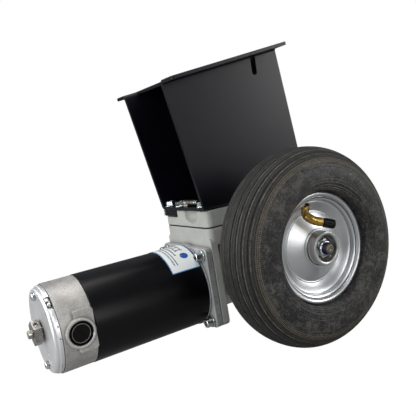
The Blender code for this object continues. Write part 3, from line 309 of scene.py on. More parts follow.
def turned_metal(key, name, colour, rough, about, ring_depth, ring_scale, blotch, wave,
                 specks=None, metal=1.0, dark=None, gloss_drift=0.06):
    """Lathe-turned metal: fine rings about an axis, blotchy gloss, tiny pits and a painted
    highlight on the edges.

    about: (frame in metres, axis letter).  wave: depth of a broad unevenness.
    dark: (noise scale, strength, colour).  specks: (noise scale, threshold, colour).
    """
    net = new_net(key, name)
    matrix, axis = about
    parts = net.split(net.local(matrix))
    along = "XYZ".index(axis)
    a, b = [parts[i] for i in range(3) if i != along]
    section = net.new("CombineXYZ", {0: net.hypot(a, b), 1: parts[along]}).outputs[0]
    rings = net.noise(ring_scale, detail=4, rough=0.6, vector=section)
    shade = net.mix(net.ramp(net.noise(0.03, detail=4), (0.35, 0.65)),
                    scaled(colour, 1 - blotch), scaled(colour, 1 + blotch))
    if dark:
        scale, strength, over = dark
        amount = net.ramp(net.noise(scale, detail=6, rough=0.65), (0.50, 0.72), (0, strength))
        shade = net.mix(amount, shade, over)
    if specks:
        scale, threshold, over = specks
        amount = net.ramp(net.noise(scale, detail=2), (threshold, threshold + 0.03))
        shade = net.mix(amount, shade, over)
    normal = net.rounded(0.4)
    # painted highlight: edges lightened towards a brighter tone of the colour
    painted_edge_highlight = tuple(min(1, c * 1.5 + 0.1) for c in colour)
    shade = net.mix(net.times(net.edge_mask(normal), 0.6), shade, painted_edge_highlight)
    normal = net.bump(rings, ring_depth, normal)
    normal = net.bump(net.noise(0.35), wave, normal)
    gloss = net.ramp(net.noise(0.09, detail=4), (0.3, 0.7),
                     (rough - gloss_drift, rough + gloss_drift))
    net.set_shader(Base_Color=shade, Roughness=gloss, Metallic=metal, Normal=normal)


ABOUT_AXLE = (AXLE_M, "Y")
ABOUT_MOTOR = (GEARMOTOR_M, "X")
turned_metal("rim", "spun_silver_rim", (0.58, 0.59, 0.60), rough=0.37, about=ABOUT_AXLE,
             ring_depth=0.0010, ring_scale=0.8, blotch=0.03, wave=0.0015, metal=0.93,
             specks=(0.55, 0.765, (0.12, 0.11, 0.10)), dark=(0.05, 0.10, (0.45, 0.45, 0.45)),
             gloss_drift=0.02)
turned_metal("hub", "turned_hub", (0.47, 0.465, 0.45), rough=0.36, about=ABOUT_AXLE,
             ring_depth=0.001, ring_scale=1.0, blotch=0.08, wave=0.001,
             dark=(0.12, 0.45, (0.24, 0.23, 0.21)))
turned_metal("spindle", "turned_spindle", (0.20, 0.178, 0.155), rough=0.42, about=ABOUT_AXLE,
             ring_depth=0.006, ring_scale=3.0, blotch=0.12, wave=0.002,
             dark=(0.3, 0.6, (0.12, 0.10, 0.085)))
turned_metal("plate", "turned_end_plate", (0.80, 0.80, 0.805), rough=0.42, about=ABOUT_MOTOR,
             ring_depth=0.0006, ring_scale=1.0, blotch=0.04, wave=0.0008, metal=0.85,
             dark=(0.05, 0.25, (0.72, 0.72, 0.73)), gloss_drift=0.03)
turned_metal("register", "turned_register", (0.80, 0.80, 0.80), rough=0.22, about=ABOUT_MOTOR,
             ring_depth=0.003, ring_scale=2.0, blotch=0.05, wave=0.002)
turned_metal("shaft", "turned_shaft", (0.46, 0.43, 0.39), rough=0.28, about=ABOUT_MOTOR,
             ring_depth=0.004, ring_scale=3.0, blotch=0.12, wave=0.002,
             dark=(0.3, 0.4, (0.22, 0.20, 0.18)))


def tyre_material():
    """Moulded rubber: dusty sidewall, hatched shoulder band, thin pale lines on the tread."""
    net = new_net("tyre", "moulded_tyre_rubber")
    ramp, times, between, noise = net.ramp, net.times, net.between, net.noise
    wheel = AXLE_M @ Matrix.Translation((0, WHEEL_Y * MM, 0))
    x, y, z = net.split(net.local(wheel))
    radius = net.hypot(x, z)
    angle = net.math("ARCTAN2", z, x)
    across = net.math("ABSOLUTE", y)
    side = ramp(radius, (97.5, 93.0))
    tread = ramp(radius, (97.0, 100.0))
    mottle = noise(0.16, detail=5, rough=0.7)
    colour = net.mix(ramp(mottle, (0.35, 0.7)), (0.006, 0.006, 0.0068), (0.019, 0.019, 0.019))
    # dust, flecks, darker shinier stains and coarse dust, mostly on the sidewall
    _, colour = net.spread(colour, noise(0.08, detail=10, rough=0.78), span=(0.47, 0.58),
                           strength=0.9, mask=side, over=(0.062, 0.060, 0.055))
    _, colour = net.spread(colour, noise(0.7, detail=6, rough=0.8), span=(0.52, 0.62),
                           strength=0.6, mask=side, over=(0.105, 0.095, 0.075))
    stain, colour = net.spread(colour, noise(0.055, detail=9, rough=0.78), span=(0.49, 0.54),
                               strength=0.95, mask=side, over=(0.008, 0.008, 0.010))
    _, colour = net.spread(colour, noise(0.34, detail=7, rough=0.9), span=(0.52, 0.60),
                           strength=0.9, mask=ramp(radius, (98.5, 96.0), (0.35, 1.0)),
                           over=(0.084, 0.080, 0.070))
    # plain raised blocks, some left out at random, in two arcs of the sidewall
    blocks_per_radian = 17.0
    cell = net.math("FLOOR", times(angle, blocks_per_radian))
    pick = net.new("TexWhiteNoise", {"W": cell}, noise_dimensions="1D").outputs["Value"]
    within = net.math("FRACT", times(angle, blocks_per_radian))
    block = between(within, (0.12, 0.17), (0.88, 0.83))
    block = times(block, net.math("GREATER_THAN", pick, 0.45))
    block = times(block, between(radius, (78.6, 79.2), (84.4, 83.8)))
    arc_wave = net.math("SINE", net.math("ADD", times(angle, 2.0), 0.9))
    block = times(times(block, net.math("GREATER_THAN", arc_wave, 0.25)), side)
    colour = net.mix(times(block, 0.5), colour, (0.012, 0.012, 0.013))
    # scuffed crowns of the tread ribs
    _, colour = net.spread(colour, noise(0.5, detail=6, rough=0.72), span=(0.45, 0.72),
                           strength=0.5, mask=tread, over=(0.046, 0.046, 0.043))
    # brown dust ring on the shoulder
    ring = between(radius, (87.5, 92.0), (99.5, 96.0))
    ring = times(ring, ramp(noise(0.35, detail=7, rough=0.75), (0.44, 0.66), (0.0, 0.55)))
    ring = times(ring, ramp(across, (24.0, 27.0)))
    colour = net.mix(ring, colour, (0.085, 0.069, 0.048))
    # diagonal hatch on the shoulder, from two crossing waves
    band = between(radius, (92.6, 93.2), (98.4, 97.8))
    band = times(band, ramp(across, (26.0, 27.0)))
    around = times(angle, 170.0)
    outwards = times(radius, 1.9)
    crossing = [net.math("SINE", net.math(way, around, outwards)) for way in ("ADD", "SUBTRACT")]
    hatch = times(times(*crossing), band)
    colour = net.mix(ramp(hatch, (0.1, 0.6), (0.0, 0.85)), colour, (0.155, 0.132, 0.092))
    # fine pale circumferential lines: noise that varies across the tread only
    across_only = net.new("VectorMath", {0: net.local(wheel), 1: (0.0, 1.0, 0.0)},
                          operation="MULTIPLY").outputs[0]
    _, colour = net.spread(colour, noise(1.1, rough=0.6, vector=across_only), span=(0.58, 0.64),
                           strength=0.45, mask=tread, over=(0.085, 0.075, 0.055))
    # pale worn lines beside the wide grooves: groove place, strength
    worn = ramp(noise(0.10, detail=5, rough=0.75), (0.40, 0.62), (0.15, 1.0))
    for groove, strength in ((5.4, 0.5), (12.4, 0.75), (19.0, 0.9), (24.6, 0.8)):
        offset = net.math("ABSOLUTE", net.math("SUBTRACT", across, groove + 1.25))
        line = times(ramp(offset, (0.55, 0.2), (0.0, strength)), times(tread, worn))
        colour = net.mix(line, colour, (0.150, 0.132, 0.098))
    # worn edges
    normal = net.rounded(0.5)
    patch = ramp(noise(0.12, detail=6, rough=0.7), (0.35, 0.6), (0.15, 0.8))
    colour = net.mix(times(net.edge_mask(normal), patch), colour, (0.10, 0.088, 0.062))
    # relief: hatch, blocks, uneven rubber, fine grain
    normal = net.bump(hatch, 0.25, normal, strength=0.8)
    normal = net.bump(block, 0.45, normal)
    normal = net.bump(noise(0.35, detail=7, rough=0.65), 0.22, normal, strength=0.8)
    normal = net.bump(noise(2.2), 0.03, normal)
    gloss = net.math("ADD", ramp(mottle, (0.3, 0.7), (0.50, 0.68)), times(stain, -0.16))
    net.set_shader(Base_Color=colour, Roughness=gloss, Specular_IOR_Level=0.30, Normal=normal)


tyre_material()


# =============================================================== mesh helpers
# A profile is a list of (place along the axis, radius). An outline lists points in the
# other two axes, in x, y, z order; so does a centre.
def new_part(verts, faces, mat, space):
    mesh = bpy.data.meshes.new("part")
    mesh.from_pydata([tuple(v) for v in verts], [], faces)
    work = bmesh.new()
    work.from_mesh(mesh)
    bmesh.ops.recalc_face_normals(work, faces=work.faces)
    work.to_mesh(mesh)
    work.free()
    mesh.transform(space)
    mesh.materials.append(MATERIALS[mat])
    part = bpy.data.objects.new("part", mesh)
    bpy.context.scene.collection.objects.link(part)
    return part


def put(axis, h, a, b):
    """Point at h along the axis and a, b along the other two."""
    return {"X": (h, a, b), "Y": (a, h, b), "Z": (a, b, h)}[axis]


def skin(rings, seg, mat, space):
    """Closed skin over rings of points, the last joined to the first; one point is a pole."""
    verts, loops, faces = [], [], []
    for ring in rings:
        start = len(verts)
        verts += ring
        loops.append([start] * seg if len(ring) == 1 else list(range(start, start + seg)))
    for i, loop in enumerate(loops):
        after = loops[(i + 1) % len(loops)]
        if loop[0] == loop[1] and after[0] == after[1]:
            continue
        for k in range(seg):
            m = (k + 1) % seg
            quad = [loop[k], loop[m], after[m], after[k]]
            faces.append([v for j, v in enumerate(quad) if v != quad[j - 1]])
    return new_part(verts, faces, mat, space)


def lathe(axis, profile, mat, seg=128, centre=(0, 0), space=GEARMOTOR):
    """Turns a closed profile about the axis."""
    a, b = centre
    rings = []
    for h, r in profile:
        if r < 1e-6:
            rings.append([put(axis, h, a, b)])
        else:
            turns = [2 * math.pi * k / seg for k in range(seg)]
            rings.append([put(axis, h, a + r * math.cos(t), b + r * math.sin(t)) for t in turns])
    return skin(rings, seg, mat, space)


def rod(axis, h0, h1, r, mat, seg=64, centre=(0, 0), chamfer=0.0, space=GEARMOTOR):
    profile = [(h0, 0), (h0, r), (h1, r), (h1, 0)]
    if chamfer:
        profile[1:3] = [(h0, r - chamfer), (h0 + chamfer, r), (h1 - chamfer, r), (h1, r - chamfer)]
    return lathe(axis, profile, mat, seg, centre, space)


def loft(rings, mat, space=GEARMOTOR):
    """Skin over open-ended rings of equal length, capped at both ends."""
    n = len(rings[0])
    verts = [p for ring in rings for p in ring]
    faces = [list(range(n)), list(range((len(rings) - 1) * n, len(rings) * n))]
    for i in range(len(rings) - 1):
        for k in range(n):
            m = (k + 1) % n
            faces.append([i * n + k, i * n + m, (i + 1) * n + m, (i + 1) * n + k])
    return new_part(verts, faces, mat, space)


def prism(axis, outline, h0, h1, mat, space=GEARMOTOR):
    return loft([[put(axis, h, a, b) for a, b in outline] for h in (h0, h1)], mat, space)


def box(low, high, mat, space=GEARMOTOR):
    outline = [(low[0], low[1]), (high[0], low[1]), (high[0], high[1]), (low[0], high[1])]
    return prism("Z", outline, low[2], high[2], mat, space)


def round_rect(a0, a1, b0, b1, radius, steps=10):
    points = []
    corners = ((a0, b0, 1, 1, 180), (a1, b0, -1, 1, 270), (a1, b1, -1, -1, 0), (a0, b1, 1, -1, 90))
    for a, b, side_a, side_b, start in corners:
        for k in range(steps + 1):
            t = math.radians(start + 90 * k / steps)
            points.append((a + side_a * radius + radius * math.cos(t),
                           b + side_b * radius + radius * math.sin(t)))
    return points


def hexagon(flats, turn=0.0, centre=(0, 0)):
    """Outline of a hexagon by its width across flats."""
    r = flats / 2 / math.cos(math.pi / 6)
    turns = [2 * math.pi * k / 6 + turn for k in range(6)]
    return [(centre[0] + r * math.cos(t), centre[1] + r * math.sin(t)) for t in turns]


def diagonals(radius, centre=(0, 0)):
    """Four places on a circle, at 45 degrees to the axes."""
    turns = [math.pi / 4 + k * math.pi / 2 for k in range(4)]
    return [(centre[0] + radius * math.cos(t), centre[1] + radius * math.sin(t)) for t in turns]


def flip(profile, sign):
    return [(sign * h, r) for h, r in profile]


def spline(points, steps):
    """Catmull-Rom through 2D or 3D control points."""
    knots = [Vector(p) for p in points]
    knots = [knots[0] * 2 - knots[1]] + knots + [knots[-1] * 2 - knots[-2]]
    curve = []
    for i in range(1, len(knots) - 2):
        p0, p1, p2, p3 = knots[i - 1:i + 3]
        for k in range(steps):
            t = k / steps
            curve.append(0.5 * ((2 * p1) + (p2 - p0) * t + (2 * p0 - 5 * p1 + 4 * p2 - p3) * t * t
                                + (3 * p1 - p0 - 3 * p2 + p3) * t ** 3))
    curve.append(knots[-2])
    return curve


def fillet(points, radius, steps=5):
    """Rounds each inner corner of an open polyline of 2D points."""
    rounded = [points[0]]
    for i in range(1, len(points) - 1):
        before, corner, after = [Vector(p) for p in points[i - 1:i + 2]]
        a, b = before - corner, after - corner
        reach = min(radius, a.length * 0.45, b.length * 0.45)
        a, b = corner + a.normalized() * reach, corner + b.normalized() * reach
        for k in range(steps + 1):
            t = k / steps
            rounded.append((1 - t) ** 2 * a + 2 * t * (1 - t) * corner + t * t * b)
    rounded.append(points[-1])
    return rounded


def bake(part):
    """Applies the modifiers to the mesh."""
    bpy.context.view_layer.update()
    graph = bpy.context.evaluated_depsgraph_get()
    mesh = bpy.data.meshes.new_from_object(part.evaluated_get(graph))
    old = part.data
    part.modifiers.clear()
    part.data = mesh
    bpy.data.meshes.remove(old)
    return part


def boolean(part, others, operation):
    for other in others:
        modifier = part.modifiers.new("b", "BOOLEAN")
        modifier.operation, modifier.solver, modifier.object = operation, "EXACT", other
        bake(part)
        bpy.data.objects.remove(other)
    return part


def cut(part, *others):
    return boolean(part, others, "DIFFERENCE")


def unite(part, *others):
    return boolean(part, others, "UNION")


def intersect(part, *others):
    return boolean(part, others, "INTERSECT")


def bevel(part, width, segments=3, angle=30.0):
    modifier = part.modifiers.new("bevel", "BEVEL")
    modifier.width, modifier.segments = width * MM, segments
    modifier.limit_method, modifier.angle_limit = "ANGLE", math.radians(angle)
    modifier.use_clamp_overlap = True
    return bake(part)


def join(part, *others):
    """Adds the other meshes to the part's, keeping their materials. The others are removed."""
    work = bmesh.new()
    materials = []
    for source in (part, *others):
        start = len(work.faces)
        work.from_mesh(source.data)
        work.faces.ensure_lookup_table()
        own = list(source.data.materials)
        for face in work.faces[start:]:
            material = own[face.material_index]
            if material not in materials:
                materials.append(material)
            face.material_index = materials.index(material)
    index = [face.material_index for face in work.faces]
    work.to_mesh(part.data)
    work.free()
    part.data.materials.clear()
    for material in materials:
        part.data.materials.append(material)
    part.data.polygons.foreach_set("material_index", index)
    part.data.update()
    for other in others:
        bpy.data.objects.remove(other)
    return part


def place(part, node, body="frame"):
    """Shades the finished piece, shows it in place of its CAD node and rides it on its body."""
    part.data.shade_smooth()
    part.data.set_sharp_from_angle(angle=math.radians(34.0))
    modifier = part.modifiers.new("weighted", "WEIGHTED_NORMAL")
    modifier.keep_sharp, modifier.weight, modifier.mode = True, 50, "FACE_AREA_WITH_ANGLE"
    bake(part)
    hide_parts(node)
    part.name = "look_" + node
    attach(part, body)


def radial(angle, r, x):
    """GEARMOTOR point at an angle in degrees from -y towards +z."""
    t = math.radians(angle)
    return Vector((x, -r * math.cos(t), r * math.sin(t)))


def radial_frame(angle, x):
    """Frame on the motor axis whose z points outwards at that angle, with x along the motor."""
    outwards = radial(angle, 1.0, 0)
    along = Vector((1, 0, 0))
    turn = Matrix((along, outwards.cross(along), outwards)).transposed().to_4x4()
    return GEARMOTOR @ Matrix.Translation((x, 0, 0)) @ turn


# =============================================================== motor
place(lathe("X", fillet([(-144.0, 46.0), (-144.0, 51.0), (-2.8, 51.0), (-2.8, 46.0)], 0.8, 4),
            "tube", 192), "motor_tube")

# rear bell: a ring with a flat land, a round boss and a bore on each side
BOSS = [(43.5, 0), (43.5, 17.0), (51.6, 16.7), (52.4, 16.4), (52.9, 15.9), (53.0, 15.2), (53.0, 0)]
BOSS_BORE = [(45.5, 0), (45.5, 13.0), (52.5, 13.05), (53.2, 13.6), (60, 13.6), (60, 0)]
BOSS_FACE = [(52.4, 13.8), (53.25, 13.8), (53.25, 15.3), (52.4, 16.2)]


def brush_turned(profile, sign, mat):
    """Turned about the brush axis, on the +y or -y side."""
    return lathe("Y", flip(profile, sign), mat, 96, (BRUSH_X, 0))


bell = lathe("X", fillet([(-180.2, 42.6), (-180.2, 50.6), (-144.4, 50.6), (-144.4, 45.5)], 0.7, 3)
             + [(-137.0, 45.5), (-137.0, 42.6)], "cast", 144)
for sign in (-1, 1):
    land = prism("Y", round_rect(-166.0, -144.8, -21.0, 24.0, 3, 5),
                 sign * 43.5, sign * 50.95, "cast")
    bevel(land, 0.3)
    unite(bell, land, brush_turned(BOSS, sign, "cast"))
    cut(bell, brush_turned(BOSS_BORE, sign, "cast"))
join(bell, *[brush_turned(fillet(BOSS_FACE, 0.3, 3), sign, "bossface") for sign in (-1, 1)])
place(bell, "rear_end_bell")

# rear plate, with an edge notch, through-bolt holes, dimples and a row of radial dots
BOLT_Z = 39.0
NOTCH_ANGLE = 47
PLATE_RIM = [(-180.6, 23.0), (-180.6, 49.4), (-184.3, 49.3), (-184.7, 48.2), (-187.5, 47.5),
             (-188.9, 46.0), (-189.1, 44.2), (-189.1, 9.0), (-186.4, 9.0)]
plate = lathe("X", fillet(PLATE_RIM, 0.5, 3) + [(-186.4, 17.8), (-177.0, 17.8), (-177.0, 23.0)],
              "plate", 160)
notch_frame = radial_frame(NOTCH_ANGLE, -183.2)
cutters = [bevel(box((-3.2, -8.5, 44.0), (3.0, 8.5, 55.0), "plate", notch_frame), 0.9)]
for z in (BOLT_Z, -BOLT_Z):
    cutters.append(rod("X", -195, -188.5, 4.9, "plate", 40, (0, z)))
    cutters.append(rod("X", -195, -175, 2.8, "plate", 32, (0, z)))
for y_z in ((27, 31), (-27, -31), (-13, -23), (34, 20), (-31, 26)):
    cutters.append(rod("X", -195, -187.2, 1.7, "hole", 24, y_z))
for angle in (15, 0, -41, 80, 120, 160, 200, 250, 290):
    cutters.append(lathe("Z", [(46.5, 0), (46.5, 1.25), (60, 1.25), (60, 0)], "hole", 24,
                         space=radial_frame(angle, -182.6)))
cut(plate, *cutters)
# round head and small tab in the notch
NOTCH_HEAD = [(45.2, 0), (45.2, 2.6), (46.4, 2.6), (47.4, 2.2), (48.0, 1.4), (48.2, 0)]
join(plate, lathe("Z", NOTCH_HEAD, "zinc", 40, space=radial_frame(NOTCH_ANGLE, -182.6)),
     bevel(box((-2.6, 3.6, 45.0), (1.0, 7.6, 47.6), "plate", notch_frame), 0.6))
place(plate, "rear_end_plate")

THROUGH_BOLT = [(-193.0, 0), (-193.0, 2.6), (-192.6, 3.6), (-191.6, 4.3), (-190.0, 4.6),
                (-189.4, 4.6), (-189.4, 2.4), (4, 2.4), (4, 0)]
for side, z in (("a", BOLT_Z), ("b", -BOLT_Z)):
    bolt = lathe("X", THROUGH_BOLT, "zinc", 48, (0, z))
    cut(bolt, rod("X", -195, -191.4, 1.9, "zinc", 6, (0, z)))
    place(bolt, "through_bolt_" + side)

# brush caps, each with a screwdriver slot and a thin bright ring
CAP = [(46.2, 0), (46.2, 12.6), (52.2, 12.6), (52.2, 11.9), (49.4, 11.5), (49.4, 10.6),
       (51.9, 10.3), (51.9, 9.3), (51.2, 9.0), (51.2, 0)]
CAP_RING = [(51.8, 9.5), (52.05, 9.55), (52.05, 10.1), (51.8, 10.15)]
slot_frame = (GEARMOTOR @ Matrix.Translation((BRUSH_X, 0, 0))
              @ Matrix.Rotation(math.radians(-38), 4, "Y"))
for side, sign in (("a", -1), ("b", 1)):
    cap = brush_turned(fillet(CAP, 0.25, 3), sign, "plastic")
    low_y, high_y = sorted((sign * 50.2, sign * 56))
    cut(cap, bevel(box((-0.75, low_y, -6.6), (0.75, high_y, 6.6), "plastic", slot_frame), 0.3, 2))
    join(cap, brush_turned(CAP_RING, sign, "capring"))
    place(cap, "brush_cap_" + side)

# square flange with a turned register on its motor side
REGISTER = [(4.0, 0), (4.0, 52.0), (-2.2, 52.0), (-2.5, 51.7), (-2.5, 45.5), (-8.5, 45.5),
            (-8.5, 42.6), (-2.5, 42.6), (-2.5, 25), (-6, 25), (-6, 0)]
flange = bevel(prism("X", round_rect(-HALF_WIDTH, HALF_WIDTH, -48.5, 49.6, 6, 8), -0.4, 8.4,
                     "flange"), 1.1, 4)
unite(flange, lathe("X", REGISTER, "register", 160))
cut(flange, rod("X", -3.6, 12, 20.4, "flange"), rod("X", -12, 0, 11, "flange", 48))
cut(flange, *[rod("X", -5, 12, 4.4, "flange", 40, y_z) for y_z in FLANGE_HOLES])
place(flange, "motor_front_flange")

# cap screws on washers, each hexagon socket turned a little further
FLANGE_SCREW = [(-10.6, 0), (-10.6, 4.7), (-10.3, 5.1), (-9.7, 5.35), (-3.1, 5.4), (-2.9, 5.3),
                (-2.6, 5.3), (-2.6, 6.6), (-2.4, 6.9), (-0.9, 6.9), (-0.7, 6.7), (-0.7, 3.9),
                (17, 3.9), (17, 0)]
for k, y_z in enumerate(FLANGE_HOLES, 1):
    screw = lathe("X", FLANGE_SCREW, "zinc", 64, y_z)
    # x, width across flats
    socket = [[(x, y, z) for y, z in hexagon(flats, 0.3 + 0.4 * k, y_z)]
              for x, flats in ((-12, 7.5), (-10.2, 6.0), (-6.6, 6.0))]
    cut(screw, loft(socket, "hole"))
    place(screw, "flange_screw_%d" % k)

# =============================================================== rating label
# White foil wrapped on the tube with a thin border, a dot and plain bars. Angles run in
# degrees from -y towards +z; the radii rise a little from layer to layer.
LABEL_A0, LABEL_A1, LABEL_X0, LABEL_X1 = 34.0, 128.0, -42.0, -4.0
FOIL_R, PRINT_R, BORDER_R, BORDER_END_R = 51.62, 51.67, 51.68, 51.69
PRINT_THICK = 0.08


def wrapped(x0, x1, a0, a1, r, mat, thick=0.12, steps=None):
    """Curved patch on the tube."""
    steps = steps or max(2, int(abs(a1 - a0) / 1.5))
    section = ((x0, r), (x1, r), (x1, r - thick), (x0, r - thick))
    return loft([[radial(a0 + (a1 - a0) * k / steps, height, x) for x, height in section]
                 for k in range(steps + 1)], mat)


def dashes(a0, a1, x, width, low, high, gap):
    """A row of plain dashes round the tube, of random length from low to high."""
    a, row = a0, []
    while a < a1 - low:
        length = min(float(rng.uniform(low, high)), a1 - a)
        row.append(wrapped(x, x + width, a, a + length, PRINT_R, "ink", PRINT_THICK, 3))
        a += length + gap
    return row


def disc(x, angle, radius, r, mat):
    """Round patch on the tube."""
    turns = [2 * math.pi * k / 40 for k in range(40)]
    return loft([[radial(angle + math.degrees(radius * math.sin(t) / 51.6), height,
                         x + radius * math.cos(t)) for t in turns]
                 for height in (r, r - PRINT_THICK)], mat)


label = wrapped(LABEL_X0, LABEL_X1, LABEL_A0, LABEL_A1, FOIL_R, "white", 0.3)
bits = [wrapped(x, x + 0.8, LABEL_A0, LABEL_A1, BORDER_R, "blue")
        for x in (LABEL_X0, LABEL_X1 - 0.8)]
bits += [wrapped(LABEL_X0, LABEL_X1, a, a + 1.1, BORDER_END_R, "blue")
         for a in (LABEL_A0, LABEL_A1 - 1.1)]
rng = np.random.default_rng(7)
# a grid of two dashed rows joined by bars, then three closer rows
for x in (-21.2, -13.6):
    bits += dashes(70, 122, x, 1.5, low=2.2, high=5.0, gap=1.1)
for angle in (73.5, 83.0, 92.5, 102.0, 111.5, 120.0):
    bits.append(wrapped(-20.6, -13.0, angle - 1.0, angle + 0.8, PRINT_R, "ink", PRINT_THICK, 3))
bits += dashes(62, 120, -26.6, 2.0, low=1.2, high=3.4, gap=0.9)
bits += dashes(45, 122, -31.4, 1.5, low=0.8, high=2.6, gap=0.7)
bits += dashes(45, 112, -35.2, 1.5, low=0.8, high=2.6, gap=0.7)
bits.append(disc(-15.9, 58.2, 5.0, 51.72, "ink"))
bits.append(disc(-15.6, 57.6, 3.5, 51.76, "dot"))
join(label, *bits)
place(label, "rating_label")

# =============================================================== rotor ends
SHAFT = [(-190.0, 7.4), (-175.0, 7.4), (-175.0, 8.6), (-6.0, 8.6), (-6.0, 8.2), (56.4, 8.2),
         (56.4, 6.6), (112.6, 6.6), (112.6, 5.7), (133.0, 5.7), (133.0, 0)]
shaft = lathe("X", fillet([(-204.0, 0), (-204.0, 4.7), (-190.0, 4.7)], 0.5, 3) + SHAFT,
              "shaft", 64)
cut(shaft, box((-206, -6, 3.6), (-199.6, 6, 8), "shaft",
               GEARMOTOR @ Matrix.Rotation(math.radians(25), 4, "X")))
place(shaft, "rotor_shaft", "rotor")

# hexagonal collar with a set screw through one flat
screw_frame = (GEARMOTOR @ Matrix.Translation((-195.0, 0, 0))
               @ Matrix.Rotation(math.radians(30), 4, "X"))
collar = bevel(prism("X", hexagon(25.0, math.radians(30)), -199.2, -190.8, "collar"), 0.5)
cut(collar, rod("X", -205, -185, 5.0, "collar", 48))
cut(collar, lathe("Z", [(4, 0), (4, 2.3), (11.9, 2.3), (12.7, 3.1), (20, 3.1), (20, 0)],
                  "hole", 40, space=screw_frame))
place(collar, "shaft_collar", "rotor")
SET_SCREW = [(5.2, 0), (5.2, 1.6), (5.6, 1.95), (10.9, 1.95), (11.3, 1.6), (11.4, 1.2),
             (10.6, 1.0), (9.6, 0)]
place(lathe("Z", SET_SCREW, "zinc", 32, space=screw_frame), "collar_set_screw", "rotor")

# =============================================================== gearbox
BOX_X0, BOX_X1 = 8.7, 160.0
GASKET_INSET = 0.6
AXLE_X, AXLE_Z = AXLE_CENTRE


def gearbox_block(levels):
    """Rounded block over the gearbox plan; levels are (z, inset)."""
    return loft([[(x, y, z) for x, y in round_rect(BOX_X0 + inset, BOX_X1 - inset,
                                                   -HALF_WIDTH + inset, HALF_WIDTH - inset, 8)]
                 for z, inset in levels], "paint")


def axle_rod(y0, y1, r, seg=48, chamfer=0.0):
    return rod("Y", y0, y1, r, "paint", seg, AXLE_CENTRE, chamfer)


housing = gearbox_block([(50.0, 2.6), (50.25, 1.6), (50.9, 0.8), (51.9, 0.25), (53.0, 0.0),
                         (71.0, 0.0), (71.6, 0.45)])
unite(housing,
      # end face against the motor flange
      bevel(prism("X", round_rect(-HALF_WIDTH, HALF_WIDTH, -48.5, 60.0, 6, 8), BOX_X0, 18.6,
                  "paint"), 1.1, 4),
      # drum round the worm wheel, snout along the axle, tunnel along the worm, rib
      axle_rod(-38, 38, 45.5, 96, 2.0),
      axle_rod(-84.5, 53.4, 33.0, 96, 1.5),
      rod("X", 12, 140, 27.0, "paint", 80, chamfer=1.5),
      bevel(box((16, -4, -42), (60, 4, 60), "paint"), 1.5))
cut(housing,
    # pocket for the worm wheel, open upwards
    axle_rod(-15.5, 15.5, 35.0, 64),
    box((AXLE_X - 35, -15.5, AXLE_Z), (AXLE_X + 35, 15.5, 76.6), "paint"),
    # worm bore and its far end
    rod("X", 0, 121.5, 16.2, "paint", 48),
    rod("X", 121.0, 150, 16.6, "paint", 48),
    # axle bore, bearing seat and seal seat at -y, bearing seat at +y
    axle_rod(-70, 40, 15.2),
    axle_rod(-76.6, -61.4, 24.0),
    axle_rod(-90, -76.0, 18.1),
    axle_rod(33.4, 60, 24.0),
    # everything above the gasket face
    box((0, -54.2, 71.6), (180, 60, 120), "paint"))
cut(housing, *[rod("X", 5, 17.8, 4.4, "paint", 24, y_z) for y_z in FLANGE_HOLES])
place(housing, "gearbox_housing")

half_gasket = HALF_WIDTH - GASKET_INSET
gasket = prism("Z", round_rect(BOX_X0 + GASKET_INSET, BOX_X1 - GASKET_INSET,
                               -half_gasket, half_gasket, 7.5, 8), 71.9, 73.0, "gasket")
cut(gasket, prism("Z", round_rect(AXLE_X - 40, AXLE_X + 40, -20, 20, 5, 5), 60, 90, "gasket"))
place(gasket, "housing_gasket")

# cover, with a bowl-shaped scoop and a shallow pocket at its motor end
cover = gearbox_block([(73.3, 0.4), (73.8, 0.05), (74.4, 0.0), (92.2, 0.45), (93.0, 0.8),
                       (93.4, 1.3), (93.5, 2.0)])
bowl = [(87.0 - 10.3 * math.cos(math.radians(a)), 17.0 * math.sin(math.radians(a)))
        for a in range(6, 91, 6)]
cut(cover,
    axle_rod(-15.5, 15.5, 37.0, 64),
    lathe("Z", [(76.7, 0)] + bowl + [(92.2, 17.0), (93.6, 18.0), (100, 18.0), (100, 0)],
          "paint", 96, (1.5, -16.5)),
    box((0, 18.5, 84.0), (24, 60, 100), "paint"))
cut(cover, *[rod("Z", 77.5, 100, 4.4, "paint", 32, x_y) for x_y in BRACKET_BOLTS])
cut(cover, rod("Z", 80, 100, 3.4, "paint", 32, (BREATHER_X, 0.0)))
place(cover, "gearbox_cover")

# flanged hexagon bolts with dished heads
HEAD_BLANK = [(98, 0), (98, 9), (103.2, 9), (104.9, 6.1), (105.0, 0)]
HEAD_FLANGE = [(98.1, 0), (98.1, 8.2), (98.6, 8.4), (99.1, 8.2), (99.9, 6.6), (99.9, 0)]
HEAD_DISH = [(104.2, 0), (104.2, 3.6), (104.5, 4.4), (110, 4.4), (110, 0)]
for k, x_y in enumerate(BRACKET_BOLTS, 1):
    head = prism("Z", hexagon(13.0, 0.25 * k, x_y), 99.4, 104.6, "zinc")
    intersect(head, lathe("Z", HEAD_BLANK, "zinc", 64, x_y))  # chamfers the hexagon
    unite(head, lathe("Z", HEAD_FLANGE, "zinc", 64, x_y),
          rod("Z", 78.5, 99.5, 3.9, "zinc", 32, x_y))
    cut(head, lathe("Z", HEAD_DISH, "zinc", 48, x_y))
    place(head, "bracket_bolt_%d" % k)

# breather elbow: a pipe towards -y on an upright with a hexagon
ELBOW = [(-27.0, 0), (-27.0, 2.2), (-26.4, 2.9), (-22.6, 2.9), (-22.2, 3.4), (3.4, 3.4), (3.4, 0)]
ELBOW_Z = 102.6
elbow = lathe("Y", fillet(ELBOW, 0.4, 3), "steel", 64, (BREATHER_X, ELBOW_Z))
unite(elbow, rod("Z", 82.0, ELBOW_Z, 3.0, "zinc", 48, (BREATHER_X, 0.0)),
      prism("Z", hexagon(9.0, centre=(BREATHER_X, 0)), 98.2, 100.6, "zinc"))
cut(elbow, rod("Y", -30, -20, 1.5, "hole", 32, (BREATHER_X, ELBOW_Z)))
place(elbow, "breather_elbow")

